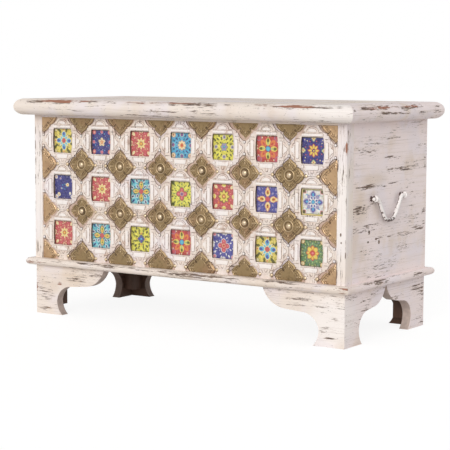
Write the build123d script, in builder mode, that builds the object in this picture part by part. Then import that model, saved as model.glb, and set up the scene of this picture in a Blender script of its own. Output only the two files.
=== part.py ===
"""Dowry chest on bracket feet: a framed box with a lift-up lid, a tiled and brass-plated front
and a bail handle on each end.

Frame: millimetres, +Z up, X along the chest, -Y towards the front. The origin is on the floor,
under the centre of the lid's outline.
"""
from build123d import *
import os

os.makedirs("parts", exist_ok=True)

# ------------------------------------------------------------------ the box
BODY_LENGTH = 850.0
BODY_DEPTH = 376.0
BODY_HEIGHT = 342.0
POST_WIDTH = 22.0            # also the thickness of the end panels, which are flush with the posts
POST_DEPTH = 30.0
BACK_THICKNESS = 18.0
BOTTOM_THICKNESS = 12.0
TONGUE = 8.0                 # thickness and depth of each tongue and of its groove
BACK_REBATE = 12.0           # how far the back panel is let into each end panel

# ------------------------------------------------------------------ the base
FOOT_HEIGHT = 118.0
BASE_RAIL_THICKNESS = 17.0
BASE_RAIL_OVERHANG = 17.0
BASE_RAIL_WIDTH = 62.0
BRACKET_THICKNESS = 22.0
BRACKET_INSET = 1.0          # bracket faces stand this far behind the body's faces
FRONT_BRACKET_LENGTH = 205.0
SIDE_BRACKET_LENGTH = 186.0
FOOT_WIDTH = 78.0            # along the floor
NECK_WIDTH = 63.0            # narrowest place of the foot
NECK_HEIGHT = 34.0
SCROLL_HEIGHT = 74.0         # height of the bracket's lower edge beside the foot
GLUE_BLOCK_WIDTH = 30.0
GLUE_BLOCK_CLEARANCE = 20.0  # under the block

# ------------------------------------------------------------------ the lid
LID_THICKNESS = 38.0
LID_OVERHANG_FRONT = 38.0
LID_OVERHANG_SIDE = 34.0
LID_OVERHANG_BACK = 19.0
LID_RAIL_WIDTH = 85.0
LID_PANEL_THICKNESS = 20.0
LID_TONGUE_DEPTH = 10.0
LID_GAP = 0.5                # between the closed lid and the body
BATTEN_WIDTH = 50.0
BATTEN_THICKNESS = 15.0
BATTEN_SPACING = 440.0

# ------------------------------------------------------------------ the front
PANEL_SETBACK = 4.0          # face of the front panel behind the face of the posts
PANEL_THICKNESS = 18.0
TOP_RAIL_SETBACK = 1.0
TOP_RAIL_LIP = 5.0           # visible height above the front panel
TOP_RAIL_HEIGHT = 26.0
TOP_RAIL_BACKING = 12.0      # thickness behind the front panel
COLUMNS = 7
ROWS = 3
PITCH_X = 113.7
PITCH_Z = 109.3
TILE_SIZE = 60.0
TILE_THICKNESS = 4.5
TILE_SETBACK = 6.5           # face of the tiles behind the face of the posts
TILE_CLEARANCE = 0.3
WINDOW_SIZE = 57.0           # opening of a carved medallion
WINDOW_BULGE = 1.5           # of its upright sides
MEDALLION_PROUD = 1.5        # carved face in front of the face of the posts
MEDALLION_STEP = 2.0         # depth of the carved ground below that face
MEDALLION_JOINT = 0.4        # between neighbours, and to the frame
NECK_HALF_X = 14.0           # half width of the neck between one row and the next
NECK_HALF_Z = 15.5           # half height of the neck between neighbours in a row
PLATE_REACH = 36.0           # centre of a brass plate to each of its four points
PLATE_THICKNESS = 1.2
PLATE_EMBOSSING = 1.2
EMBOSSED_SHARE = 0.78        # size of the raised middle, of the plate's
RING_RADIUS = 13.0
RING_WIDTH = 3.0
RING_HEIGHT = 1.2
DOME_RADIUS = 7.0
DOME_HEIGHT = 4.5
SIDE_TACK_REACH = 37.6       # plate centre to the tacks at its left and right points
POINT_TACK_REACH = 40.4      # plate centre to the tacks above and below it
TACK_RADIUS = 3.1
TACK_HEIGHT = 2.4
TACK_SHANK_RADIUS = 1.0
TACK_LENGTH = 12.0

# ------------------------------------------------------------------ the hinges
HINGE_LENGTH = 76.0
HINGE_SPACING = 500.0
LEAF_THICKNESS = 2.0
LEAF_SEAT = 15.0             # leaf width that lies on the wood
KNUCKLE_RADIUS = 4.0
KNUCKLE_STANDOFF = 0.5       # barrel to the back of the chest
LID_KNUCKLE_LENGTH = 30.0
KNUCKLE_CLEARANCE = 0.3
BARREL_CLEARANCE = 0.6       # barrel to the groove in the lid above it
PIN_RADIUS = 2.0
PIN_CLEARANCE = 0.05
HINGE_SCREW_COUNT = 3
HINGE_SCREW_SPACING = 28.0
SCREW_HEAD_RADIUS = 3.4
SCREW_SHANK_RADIUS = 1.7
BODY_SCREW_LENGTH = 16.0
LID_SCREW_LENGTH = 16.0

# ------------------------------------------------------------------ the handles
HANDLE_HEIGHT = 312.0        # pivot above the floor
HANDLE_FROM_FRONT = 178.0    # front face of the body to the middle of the handle
HANDLE_STANDOFF = 10.0       # pivot to the end panel
BAIL_RADIUS = 4.2
BAIL_TOP_HALF = 55.0         # half width where the bar turns down
BAIL_FOOT_HALF = 19.0        # half width of the bottom bend
BAIL_DROP = 50.0
BAIL_TOP_BEND = 9.0
BAIL_BOTTOM_BEND = 28.0
BAIL_PIN_RADIUS = 2.7
BAIL_KNOB_RADIUS = 3.8
EYE_HALF_SPACING = 68.0
EYE_WIRE_RADIUS = 2.2
EYE_CLEARANCE = 0.35         # bail pin in its eye
EYE_SIDE_CLEARANCE = 0.4     # bail shoulder and knob beside the eye
EYE_COLLAR_RADIUS = 6.0
EYE_COLLAR_THICKNESS = 1.5
NUT_RADIUS = 6.0
NUT_THICKNESS = 4.0
SHANK_TIP = 1.5              # shank beyond its nut

# ------------------------------------------------------------------ places worked out from them
BODY_BOTTOM = FOOT_HEIGHT + BASE_RAIL_THICKNESS
BODY_TOP = BODY_BOTTOM + BODY_HEIGHT
LID_BOTTOM = BODY_TOP + LID_GAP
LID_TOP = LID_BOTTOM + LID_THICKNESS
LID_LENGTH = BODY_LENGTH + 2 * LID_OVERHANG_SIDE
LID_DEPTH = BODY_DEPTH + LID_OVERHANG_FRONT + LID_OVERHANG_BACK
FRONT_Y = LID_OVERHANG_FRONT - LID_DEPTH / 2
BACK_Y = FRONT_Y + BODY_DEPTH
MIDDLE_Y = (FRONT_Y + BACK_Y) / 2
HALF_LENGTH = BODY_LENGTH / 2
INNER_HALF = HALF_LENGTH - POST_WIDTH
PANEL_BACK = PANEL_SETBACK + PANEL_THICKNESS
FIELD_TOP = BODY_TOP - TOP_RAIL_LIP
GRID_MIDDLE = FIELD_TOP - ROWS * PITCH_Z / 2
END_TONGUE_X = INNER_HALF + (POST_WIDTH - TONGUE) / 2
END_LENGTH = BACK_Y - FRONT_Y - POST_DEPTH
PANEL_TONGUE_Y = FRONT_Y + PANEL_SETBACK + (PANEL_THICKNESS - TONGUE) / 2
HINGE_Y = BACK_Y + KNUCKLE_STANDOFF + KNUCKLE_RADIUS
HINGE_Z = BODY_TOP + LID_GAP / 2
LEAF_FRONT_Y = BACK_Y - LEAF_SEAT
HANDLE_Y = FRONT_Y + HANDLE_FROM_FRONT
UP = Vector(0, 0, 1)
SIDES = {"left": -1, "right": 1}


def save(piece, node):
    """Label a finished piece and write its file."""
    piece.part.label = node
    export_step(piece.part, f"parts/{node}.step")


def span(low, high):
    """Middle and size of a stretch, whichever end is named first."""
    return (low + high) / 2, abs(high - low)


def add_block(x, y, z, mode=Mode.ADD):
    """A block between two limits along each axis, in the part that is open."""
    (mid_x, size_x), (mid_y, size_y), (mid_z, size_z) = span(*x), span(*y), span(*z)
    with Locations((mid_x, mid_y, mid_z)):
        Box(size_x, size_y, size_z, mode=mode)


def front_plane(setback):
    """Upright plane behind the face of the posts. Its normal points out of the front."""
    return Plane(origin=(0, FRONT_Y + setback, 0), x_dir=(1, 0, 0), z_dir=(0, -1, 0))


def handle_eye_places(side):
    """Middle of each eye of the handle on one end."""
    x = side * (HALF_LENGTH + HANDLE_STANDOFF)
    return [(x, HANDLE_Y - EYE_HALF_SPACING, HANDLE_HEIGHT), (x, HANDLE_Y + EYE_HALF_SPACING, HANDLE_HEIGHT)]


def hinge_screw_places(z):
    """Screw places of both hinges at one height."""
    first = -(HINGE_SCREW_COUNT - 1) / 2
    y = LEAF_FRONT_Y + LEAF_SEAT / 2
    return [
        (side * HINGE_SPACING / 2 + (first + index) * HINGE_SCREW_SPACING, y, z)
        for side in SIDES.values()
        for index in range(HINGE_SCREW_COUNT)
    ]


# ------------------------------------------------------------------ the lattice of the front
COLUMN_X = [(index - (COLUMNS - 1) / 2) * PITCH_X for index in range(COLUMNS)]
ROW_Z = [GRID_MIDDLE + ((ROWS - 1) / 2 - index) * PITCH_Z for index in range(ROWS)]
PLATE_X = [(index - COLUMNS / 2) * PITCH_X for index in range(COLUMNS + 1)]
PLATE_Z = [GRID_MIDDLE + (ROWS / 2 - index) * PITCH_Z for index in range(ROWS + 1)]
INNER_X = PLATE_X[1:-1]
INNER_Z = PLATE_Z[1:-1]
EDGE_X = [PLATE_X[0], PLATE_X[-1]]
EDGE_Z = [PLATE_Z[0], PLATE_Z[-1]]
PLATE_FACE = PANEL_SETBACK - PLATE_THICKNESS
DOME_PLACES = [(x, z) for x in INNER_X for z in INNER_Z]
SIDE_TACK_PLACES = [
    (x + side * SIDE_TACK_REACH, z)
    for x in PLATE_X
    for z in PLATE_Z[1:]
    for side in SIDES.values()
    if abs(x + side * SIDE_TACK_REACH) < INNER_HALF
]
POINT_TACK_PLACES = [
    (x, z + side * POINT_TACK_REACH)
    for x in PLATE_X
    for z in PLATE_Z
    for side in SIDES.values()
    if BODY_BOTTOM < z + side * POINT_TACK_REACH < FIELD_TOP
]


# ------------------------------------------------------------------ body: posts, panels and rail
def build_post(name, side):
    outer, inner = side * HALF_LENGTH, side * INNER_HALF
    with BuildPart() as post:
        add_block((inner, outer), (FRONT_Y, FRONT_Y + POST_DEPTH), (BODY_BOTTOM, BODY_TOP))
        add_block((inner, inner + side * TONGUE), (PANEL_TONGUE_Y, PANEL_TONGUE_Y + TONGUE),
                  (BODY_BOTTOM, FIELD_TOP), Mode.SUBTRACT)
        add_block((side * END_TONGUE_X, side * (END_TONGUE_X + TONGUE)),
                  (FRONT_Y + POST_DEPTH - TONGUE, FRONT_Y + POST_DEPTH),
                  (BODY_BOTTOM, BODY_TOP), Mode.SUBTRACT)
    save(post, f"front_{name}_post")


def build_end_panel(name, side):
    outer, inner = side * HALF_LENGTH, side * INNER_HALF
    tongue_x = (side * END_TONGUE_X, side * (END_TONGUE_X + TONGUE))
    panel_front = FRONT_Y + POST_DEPTH
    with BuildPart() as panel:
        add_block((inner, outer), (panel_front, panel_front + END_LENGTH), (BODY_BOTTOM, BODY_TOP))
        add_block(tongue_x, (panel_front - TONGUE, panel_front), (BODY_BOTTOM, BODY_TOP))
        add_block((inner, inner + side * BACK_REBATE), (BACK_Y - BACK_THICKNESS, BACK_Y),
                  (BODY_BOTTOM, BODY_TOP), Mode.SUBTRACT)
        with Locations(*[(side * HALF_LENGTH, y, z) for _, y, z in handle_eye_places(side)]):
            Cylinder(EYE_WIRE_RADIUS, 3 * POST_WIDTH, rotation=(0, 90, 0), mode=Mode.SUBTRACT)
    save(panel, f"{name}_end_panel")


for side_name, side_sign in SIDES.items():
    build_post(side_name, side_sign)
    build_end_panel(side_name, side_sign)

with BuildPart() as back_panel:
    add_block((-INNER_HALF - BACK_REBATE, INNER_HALF + BACK_REBATE), (BACK_Y - BACK_THICKNESS, BACK_Y),
              (BODY_BOTTOM, BODY_TOP))
    for side_sign in SIDES.values():
        mortise_middle = side_sign * HINGE_SPACING / 2
        add_block((mortise_middle - HINGE_LENGTH / 2, mortise_middle + HINGE_LENGTH / 2),
                  (LEAF_FRONT_Y, BACK_Y), (BODY_TOP - LEAF_THICKNESS, BODY_TOP), Mode.SUBTRACT)
    with Locations(*hinge_screw_places(BODY_TOP)):
        Cylinder(SCREW_SHANK_RADIUS, 2 * BODY_SCREW_LENGTH, mode=Mode.SUBTRACT)
save(back_panel, "back_panel")

with BuildPart() as bottom_panel:
    add_block((-INNER_HALF, INNER_HALF), (FRONT_Y + PANEL_BACK, BACK_Y - BACK_THICKNESS),
              (BODY_BOTTOM, BODY_BOTTOM + BOTTOM_THICKNESS))
save(bottom_panel, "bottom_panel")

with BuildPart() as front_panel:
    add_block((-INNER_HALF, INNER_HALF), (FRONT_Y + PANEL_SETBACK, FRONT_Y + PANEL_BACK),
              (BODY_BOTTOM, FIELD_TOP))
    add_block((-INNER_HALF - TONGUE, INNER_HALF + TONGUE), (PANEL_TONGUE_Y, PANEL_TONGUE_Y + TONGUE),
              (BODY_BOTTOM, FIELD_TOP))
    with BuildSketch(front_plane(TILE_SETBACK + TILE_THICKNESS)):
        with Locations(*[(x, z) for x in COLUMN_X for z in ROW_Z]):
            Rectangle(TILE_SIZE + 2 * TILE_CLEARANCE, TILE_SIZE + 2 * TILE_CLEARANCE)
    extrude(amount=TILE_SETBACK + TILE_THICKNESS, mode=Mode.SUBTRACT)
    with BuildSketch(front_plane(TACK_LENGTH)):
        with Locations(*DOME_PLACES, *SIDE_TACK_PLACES, *POINT_TACK_PLACES):
            Circle(TACK_SHANK_RADIUS)
    extrude(amount=TACK_LENGTH, mode=Mode.SUBTRACT)
save(front_panel, "front_panel")

with BuildPart() as front_top_rail:
    add_block((-INNER_HALF, INNER_HALF), (FRONT_Y + TOP_RAIL_SETBACK, FRONT_Y + PANEL_BACK + TOP_RAIL_BACKING),
              (BODY_TOP - TOP_RAIL_HEIGHT, BODY_TOP))
    add_block((-INNER_HALF, INNER_HALF), (FRONT_Y, FRONT_Y + PANEL_BACK),
              (BODY_TOP - TOP_RAIL_HEIGHT, FIELD_TOP), Mode.SUBTRACT)
save(front_top_rail, "front_top_rail")


# ------------------------------------------------------------------ mitred frames with a round nose
def frame_sides(length, depth, middle_y, z):
    """Plane on the outer edge of each side of a frame: local x runs along it, local y inwards."""
    return {
        "front": (Plane(origin=(0, middle_y - depth / 2, z), x_dir=(1, 0, 0), z_dir=(0, 0, 1)), length),
        "back": (Plane(origin=(0, middle_y + depth / 2, z), x_dir=(-1, 0, 0), z_dir=(0, 0, 1)), length),
        "left": (Plane(origin=(-length / 2, middle_y, z), x_dir=(0, -1, 0), z_dir=(0, 0, 1)), depth),
        "right": (Plane(origin=(length / 2, middle_y, z), x_dir=(0, 1, 0), z_dir=(0, 0, 1)), depth),
    }


def add_frame_rail(plane, length, width, thickness):
    """Rail of a mitred frame, with a half-round outer edge, in the part that is open."""
    half = length / 2
    nose = thickness / 2
    with BuildSketch(plane) as outline:
        with BuildLine():
            Polyline((-half, 0), (half, 0), (half - width, width), (width - half, width), close=True)
        make_face()
    extrude(outline.sketch, amount=thickness)
    section = Plane(origin=plane.origin, x_dir=plane.y_dir, z_dir=plane.y_dir.cross(plane.z_dir))
    with BuildSketch(section) as profile:
        with BuildLine():
            Line((nose, 0), (width, 0))
            Line((width, 0), (width, thickness))
            Line((width, thickness), (nose, thickness))
            ThreePointArc((nose, thickness), (0, nose), (nose, 0))
        make_face()
    extrude(profile.sketch, amount=length, both=True, mode=Mode.INTERSECT)


base_frame = frame_sides(BODY_LENGTH + 2 * BASE_RAIL_OVERHANG, BODY_DEPTH + 2 * BASE_RAIL_OVERHANG,
                         MIDDLE_Y, FOOT_HEIGHT)
for side_name, (rail_plane, rail_length) in base_frame.items():
    with BuildPart() as base_rail:
        add_frame_rail(rail_plane, rail_length, BASE_RAIL_WIDTH, BASE_RAIL_THICKNESS)
    save(base_rail, f"base_{side_name}_rail")


# ------------------------------------------------------------------ bracket feet
def build_bracket(node, corner, along, inward, length):
    """Half of a foot: an ogee board that runs from its mitred corner along one side."""
    face = Plane(origin=corner, x_dir=along, z_dir=along.cross(UP))
    plan = Plane(origin=corner, x_dir=along, z_dir=UP)
    face_sign = 1 if face.z_dir.dot(inward) > 0 else -1
    plan_sign = 1 if plan.y_dir.dot(inward) > 0 else -1
    scroll_end = length - (FOOT_HEIGHT - SCROLL_HEIGHT) * 1.3
    scroll_start = FOOT_WIDTH + (SCROLL_HEIGHT - NECK_HEIGHT) * 0.62
    with BuildPart() as bracket:
        with BuildSketch(face):
            with BuildLine():
                Line((0, 0), (0, FOOT_HEIGHT))
                Line((0, FOOT_HEIGHT), (length, FOOT_HEIGHT))
                ThreePointArc((length, FOOT_HEIGHT),
                              (length - (FOOT_HEIGHT - SCROLL_HEIGHT) * 0.42,
                               SCROLL_HEIGHT + (FOOT_HEIGHT - SCROLL_HEIGHT) * 0.36),
                              (scroll_end, SCROLL_HEIGHT))
                Line((scroll_end, SCROLL_HEIGHT), (scroll_start, SCROLL_HEIGHT - 3.5))
                ThreePointArc((scroll_start, SCROLL_HEIGHT - 3.5),
                              ((NECK_WIDTH + FOOT_WIDTH) / 2 + 2, (SCROLL_HEIGHT + NECK_HEIGHT) / 2 + 1.5),
                              (NECK_WIDTH, NECK_HEIGHT))
                ThreePointArc((NECK_WIDTH, NECK_HEIGHT),
                              (NECK_WIDTH + (FOOT_WIDTH - NECK_WIDTH) * 0.28, NECK_HEIGHT * 0.44),
                              (FOOT_WIDTH, 0))
                Line((FOOT_WIDTH, 0), (0, 0))
            make_face()
        extrude(amount=face_sign * BRACKET_THICKNESS)
        with BuildSketch(plan):
            with BuildLine():
                Polyline((0, 0), (length, 0), (length, plan_sign * BRACKET_THICKNESS),
                         (BRACKET_THICKNESS, plan_sign * BRACKET_THICKNESS), close=True)
            make_face()
        extrude(amount=FOOT_HEIGHT, mode=Mode.INTERSECT)
    save(bracket, node)


glue_block_places = []
for x_name, x_sign in SIDES.items():
    for y_name, y_sign in {"front": -1, "back": 1}.items():
        corner_point = Vector(x_sign * (HALF_LENGTH - BRACKET_INSET),
                              MIDDLE_Y + y_sign * (BODY_DEPTH / 2 - BRACKET_INSET), 0)
        in_x, in_y = Vector(-x_sign, 0, 0), Vector(0, -y_sign, 0)
        build_bracket(f"{y_name}_{x_name}_foot_{y_name}_bracket", corner_point, in_x, in_y, FRONT_BRACKET_LENGTH)
        build_bracket(f"{y_name}_{x_name}_foot_side_bracket", corner_point, in_y, in_x, SIDE_BRACKET_LENGTH)
        block_reach = BRACKET_THICKNESS + GLUE_BLOCK_WIDTH / 2
        glue_block_places.append(tuple(corner_point + (in_x + in_y) * block_reach + UP * GLUE_BLOCK_CLEARANCE))

with BuildPart() as foot_glue_blocks:
    with Locations(*glue_block_places):
        Box(GLUE_BLOCK_WIDTH, GLUE_BLOCK_WIDTH, FOOT_HEIGHT - GLUE_BLOCK_CLEARANCE,
            align=(Align.CENTER, Align.CENTER, Align.MIN))
save(foot_glue_blocks, "foot_glue_blocks")


# ------------------------------------------------------------------ lid
LID_INNER_X = LID_LENGTH / 2 - LID_RAIL_WIDTH
LID_INNER_Y = LID_DEPTH / 2 - LID_RAIL_WIDTH
LID_PANEL_BOTTOM = LID_TOP - LID_PANEL_THICKNESS
LID_TONGUE_Z = (LID_PANEL_BOTTOM + (LID_PANEL_THICKNESS - TONGUE) / 2,
                LID_PANEL_BOTTOM + (LID_PANEL_THICKNESS + TONGUE) / 2)
TONGUE_X = (-LID_INNER_X - LID_TONGUE_DEPTH, LID_INNER_X + LID_TONGUE_DEPTH)
TONGUE_Y = (-LID_INNER_Y - LID_TONGUE_DEPTH, LID_INNER_Y + LID_TONGUE_DEPTH)


def cut_hinge_seats():
    """Seats for the lid leaves, and the grooves that clear the barrels."""
    for side in SIDES.values():
        middle = side * HINGE_SPACING / 2
        add_block((middle - HINGE_LENGTH / 2, middle + HINGE_LENGTH / 2), (LEAF_FRONT_Y, HINGE_Y),
                  (LID_BOTTOM, LID_BOTTOM + LEAF_THICKNESS), Mode.SUBTRACT)
        with Locations((middle, HINGE_Y, HINGE_Z)):
            Cylinder(KNUCKLE_RADIUS + BARREL_CLEARANCE, HINGE_LENGTH + 2 * BARREL_CLEARANCE,
                     rotation=(0, 90, 0), mode=Mode.SUBTRACT)
    with Locations(*hinge_screw_places(LID_BOTTOM)):
        Cylinder(SCREW_SHANK_RADIUS, 2 * LID_SCREW_LENGTH, mode=Mode.SUBTRACT)


for side_name, (rail_plane, rail_length) in frame_sides(LID_LENGTH, LID_DEPTH, 0, LID_BOTTOM).items():
    with BuildPart() as lid_rail:
        add_frame_rail(rail_plane, rail_length, LID_RAIL_WIDTH, LID_THICKNESS)
        add_block(TONGUE_X, TONGUE_Y, LID_TONGUE_Z, Mode.SUBTRACT)
        if side_name == "back":
            cut_hinge_seats()
    save(lid_rail, f"lid_{side_name}_rail")

with BuildPart() as lid_panel:
    add_block((-LID_INNER_X, LID_INNER_X), (-LID_INNER_Y, LID_INNER_Y), (LID_PANEL_BOTTOM, LID_TOP))
    add_block(TONGUE_X, TONGUE_Y, LID_TONGUE_Z)
save(lid_panel, "lid_panel")

for side_name, side_sign in SIDES.items():
    batten_x = side_sign * BATTEN_SPACING / 2
    with BuildPart() as batten:
        add_block((batten_x - BATTEN_WIDTH / 2, batten_x + BATTEN_WIDTH / 2), (-LID_INNER_Y, LID_INNER_Y),
                  (LID_PANEL_BOTTOM - BATTEN_THICKNESS, LID_PANEL_BOTTOM))
    save(batten, f"{side_name}_lid_batten")


# ------------------------------------------------------------------ hinges
def add_knuckle(middle, length, bore, mode=Mode.ADD):
    """A stretch of the barrel about the hinge line, with the bore for the pin."""
    with Locations((middle, HINGE_Y, HINGE_Z)):
        Cylinder(KNUCKLE_RADIUS, length, rotation=(0, 90, 0), mode=mode)
        Cylinder(bore, length, rotation=(0, 90, 0), mode=Mode.SUBTRACT)


def add_screw_seats(middle, z, head_z):
    """Countersunk holes through a leaf. The wide end of each is at head_z."""
    with Locations(*[place for place in hinge_screw_places(z) if abs(place[0] - middle) < HINGE_LENGTH / 2]):
        Cylinder(SCREW_SHANK_RADIUS, 4 * LEAF_THICKNESS, mode=Mode.SUBTRACT)
    upright = head_z > z
    with Locations(*[place for place in hinge_screw_places(z) if abs(place[0] - middle) < HINGE_LENGTH / 2]):
        Cone(SCREW_SHANK_RADIUS if upright else SCREW_HEAD_RADIUS,
             SCREW_HEAD_RADIUS if upright else SCREW_SHANK_RADIUS, LEAF_THICKNESS,
             align=(Align.CENTER, Align.CENTER, Align.MIN), mode=Mode.SUBTRACT)


def build_hinge(name, side):
    middle = side * HINGE_SPACING / 2
    ends = (middle - HINGE_LENGTH / 2, middle + HINGE_LENGTH / 2)
    lid_half = LID_KNUCKLE_LENGTH / 2
    body_half = lid_half + KNUCKLE_CLEARANCE
    outer_length = HINGE_LENGTH / 2 - body_half
    free_y = HINGE_Y - KNUCKLE_RADIUS - KNUCKLE_CLEARANCE

    with BuildPart() as body_leaf:
        add_block(ends, (LEAF_FRONT_Y, HINGE_Y), (BODY_TOP - LEAF_THICKNESS, BODY_TOP))
        add_block((middle - body_half, middle + body_half), (free_y, HINGE_Y),
                  (BODY_TOP - LEAF_THICKNESS, BODY_TOP), Mode.SUBTRACT)
        for end in SIDES.values():
            add_knuckle(middle + end * (body_half + outer_length / 2), outer_length, PIN_RADIUS)
        add_screw_seats(middle, BODY_TOP - LEAF_THICKNESS, BODY_TOP)
    save(body_leaf, f"{name}_hinge_body_leaf")

    with BuildPart() as lid_leaf:
        add_block(ends, (LEAF_FRONT_Y, free_y), (LID_BOTTOM, LID_BOTTOM + LEAF_THICKNESS))
        add_block((middle - lid_half, middle + lid_half), (free_y, HINGE_Y),
                  (LID_BOTTOM, LID_BOTTOM + LEAF_THICKNESS))
        add_knuckle(middle, LID_KNUCKLE_LENGTH, PIN_RADIUS + PIN_CLEARANCE)
        add_screw_seats(middle, LID_BOTTOM, LID_BOTTOM)
    save(lid_leaf, f"{name}_hinge_lid_leaf")

    with BuildPart() as pin:
        with Locations((middle, HINGE_Y, HINGE_Z)):
            Cylinder(PIN_RADIUS, HINGE_LENGTH, rotation=(0, 90, 0))
    save(pin, f"{name}_hinge_pin")


for side_name, side_sign in SIDES.items():
    build_hinge(side_name, side_sign)

with BuildPart() as hinge_body_screws:
    with Locations(*hinge_screw_places(BODY_TOP)):
        Cylinder(SCREW_SHANK_RADIUS, BODY_SCREW_LENGTH, align=(Align.CENTER, Align.CENTER, Align.MAX))
    with Locations(*hinge_screw_places(BODY_TOP - LEAF_THICKNESS)):
        Cone(SCREW_SHANK_RADIUS, SCREW_HEAD_RADIUS, LEAF_THICKNESS, align=(Align.CENTER, Align.CENTER, Align.MIN))
save(hinge_body_screws, "hinge_body_screws")

with BuildPart() as hinge_lid_screws:
    with Locations(*hinge_screw_places(LID_BOTTOM)):
        Cylinder(SCREW_SHANK_RADIUS, LID_SCREW_LENGTH, align=(Align.CENTER, Align.CENTER, Align.MIN))
        Cone(SCREW_HEAD_RADIUS, SCREW_SHANK_RADIUS, LEAF_THICKNESS, align=(Align.CENTER, Align.CENTER, Align.MIN))
save(hinge_lid_screws, "hinge_lid_screws")


# ------------------------------------------------------------------ handles
def build_handle(name, side):
    pivot_x = side * (HALF_LENGTH + HANDLE_STANDOFF)
    upright = Plane(origin=(pivot_x, HANDLE_Y, HANDLE_HEIGHT), x_dir=(0, 1, 0), z_dir=(1, 0, 0))
    shoulder = EYE_HALF_SPACING - EYE_WIRE_RADIUS - EYE_SIDE_CLEARANCE
    knob = EYE_HALF_SPACING + EYE_WIRE_RADIUS + EYE_SIDE_CLEARANCE + BAIL_KNOB_RADIUS
    with BuildPart() as bail:
        with BuildLine(upright) as bar_line:
            FilletPolyline((-shoulder, 0), (-BAIL_TOP_HALF, 0), (-BAIL_FOOT_HALF, -BAIL_DROP),
                           (BAIL_FOOT_HALF, -BAIL_DROP), (BAIL_TOP_HALF, 0), (shoulder, 0),
                           radius=[BAIL_TOP_BEND, BAIL_BOTTOM_BEND, BAIL_BOTTOM_BEND, BAIL_TOP_BEND])
        with BuildSketch(Plane(origin=bar_line.line @ 0, x_dir=(0, 0, 1), z_dir=bar_line.line % 0)):
            Circle(BAIL_RADIUS)
        sweep(path=bar_line.line)
        for end in SIDES.values():
            with Locations((pivot_x, HANDLE_Y + end * (shoulder + knob) / 2, HANDLE_HEIGHT)):
                Cylinder(BAIL_PIN_RADIUS, knob - shoulder, rotation=(90, 0, 0))
            with Locations((pivot_x, HANDLE_Y + end * knob, HANDLE_HEIGHT)):
                Sphere(BAIL_KNOB_RADIUS)
    save(bail, f"{name}_handle_bail")

    eye_radius = BAIL_PIN_RADIUS + EYE_CLEARANCE + EYE_WIRE_RADIUS
    shank_outer = pivot_x - side * eye_radius
    shank_inner = side * (INNER_HALF - NUT_THICKNESS - SHANK_TIP)
    collar_x = side * (HALF_LENGTH + EYE_COLLAR_THICKNESS / 2)
    with BuildPart() as eyes:
        for _, eye_y, eye_z in handle_eye_places(side):
            with Locations((pivot_x, eye_y, eye_z)):
                Torus(eye_radius, EYE_WIRE_RADIUS, rotation=(90, 0, 0))
            with Locations(((shank_outer + shank_inner) / 2, eye_y, eye_z)):
                Cylinder(EYE_WIRE_RADIUS, abs(shank_outer - shank_inner), rotation=(0, 90, 0))
            with Locations((collar_x, eye_y, eye_z)):
                Cylinder(EYE_COLLAR_RADIUS, EYE_COLLAR_THICKNESS, rotation=(0, 90, 0))
            with Locations((pivot_x, eye_y, eye_z)):
                Cylinder(BAIL_PIN_RADIUS + EYE_CLEARANCE, 3 * EYE_WIRE_RADIUS, rotation=(90, 0, 0),
                         mode=Mode.SUBTRACT)
    save(eyes, f"{name}_handle_eyes")


for side_name, side_sign in SIDES.items():
    build_handle(side_name, side_sign)

with BuildPart() as handle_nuts:
    for side_sign in SIDES.values():
        nut_plane = Plane(origin=(side_sign * INNER_HALF, 0, 0), x_dir=(0, 1, 0), z_dir=(1, 0, 0))
        with BuildSketch(nut_plane):
            with Locations(*[(y, z) for _, y, z in handle_eye_places(side_sign)]):
                RegularPolygon(NUT_RADIUS, 6)
                Circle(EYE_WIRE_RADIUS, mode=Mode.SUBTRACT)
        extrude(amount=-side_sign * NUT_THICKNESS)
save(handle_nuts, "handle_nuts")


# ------------------------------------------------------------------ carved medallions and tiles
CELL_X = (PITCH_X - MEDALLION_JOINT) / 2
CELL_Z = (PITCH_Z - MEDALLION_JOINT) / 2
GROUND = MEDALLION_STEP - MEDALLION_PROUD
HALF_WINDOW = WINDOW_SIZE / 2
SHOULDER_X = 35.0            # step in the outline beside the upper and lower bars
SHOULDER_Z = 36.6
SHOULDER_STEP = 3.5

with BuildSketch() as medallion_outline:
    with BuildLine():
        Line((0, 0), (0, CELL_Z))
        Line((0, CELL_Z), (NECK_HALF_X, CELL_Z))
        ThreePointArc((NECK_HALF_X, CELL_Z), (NECK_HALF_X + 7.5, SHOULDER_Z + 6.5), (SHOULDER_X, SHOULDER_Z))
        Line((SHOULDER_X, SHOULDER_Z), (SHOULDER_X, SHOULDER_Z - SHOULDER_STEP))
        Line((SHOULDER_X, SHOULDER_Z - SHOULDER_STEP), (SHOULDER_X + 4.5, SHOULDER_Z - SHOULDER_STEP - 1))
        ThreePointArc((SHOULDER_X + 4.5, SHOULDER_Z - SHOULDER_STEP - 1),
                      (SHOULDER_X + 10, NECK_HALF_Z + 6.5), (CELL_X - 3, NECK_HALF_Z))
        Line((CELL_X - 3, NECK_HALF_Z), (CELL_X, NECK_HALF_Z))
        Line((CELL_X, NECK_HALF_Z), (CELL_X, 0))
        Line((CELL_X, 0), (0, 0))
    make_face()
    mirror(about=Plane.XZ)
    mirror(about=Plane.YZ)

with BuildSketch() as medallion_window:
    with BuildLine():
        Line((-HALF_WINDOW, HALF_WINDOW), (HALF_WINDOW, HALF_WINDOW))
        ThreePointArc((HALF_WINDOW, HALF_WINDOW), (HALF_WINDOW + WINDOW_BULGE, 0), (HALF_WINDOW, -HALF_WINDOW))
        Line((HALF_WINDOW, -HALF_WINDOW), (-HALF_WINDOW, -HALF_WINDOW))
        ThreePointArc((-HALF_WINDOW, -HALF_WINDOW), (-HALF_WINDOW - WINDOW_BULGE, 0), (-HALF_WINDOW, HALF_WINDOW))
    make_face()

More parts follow.
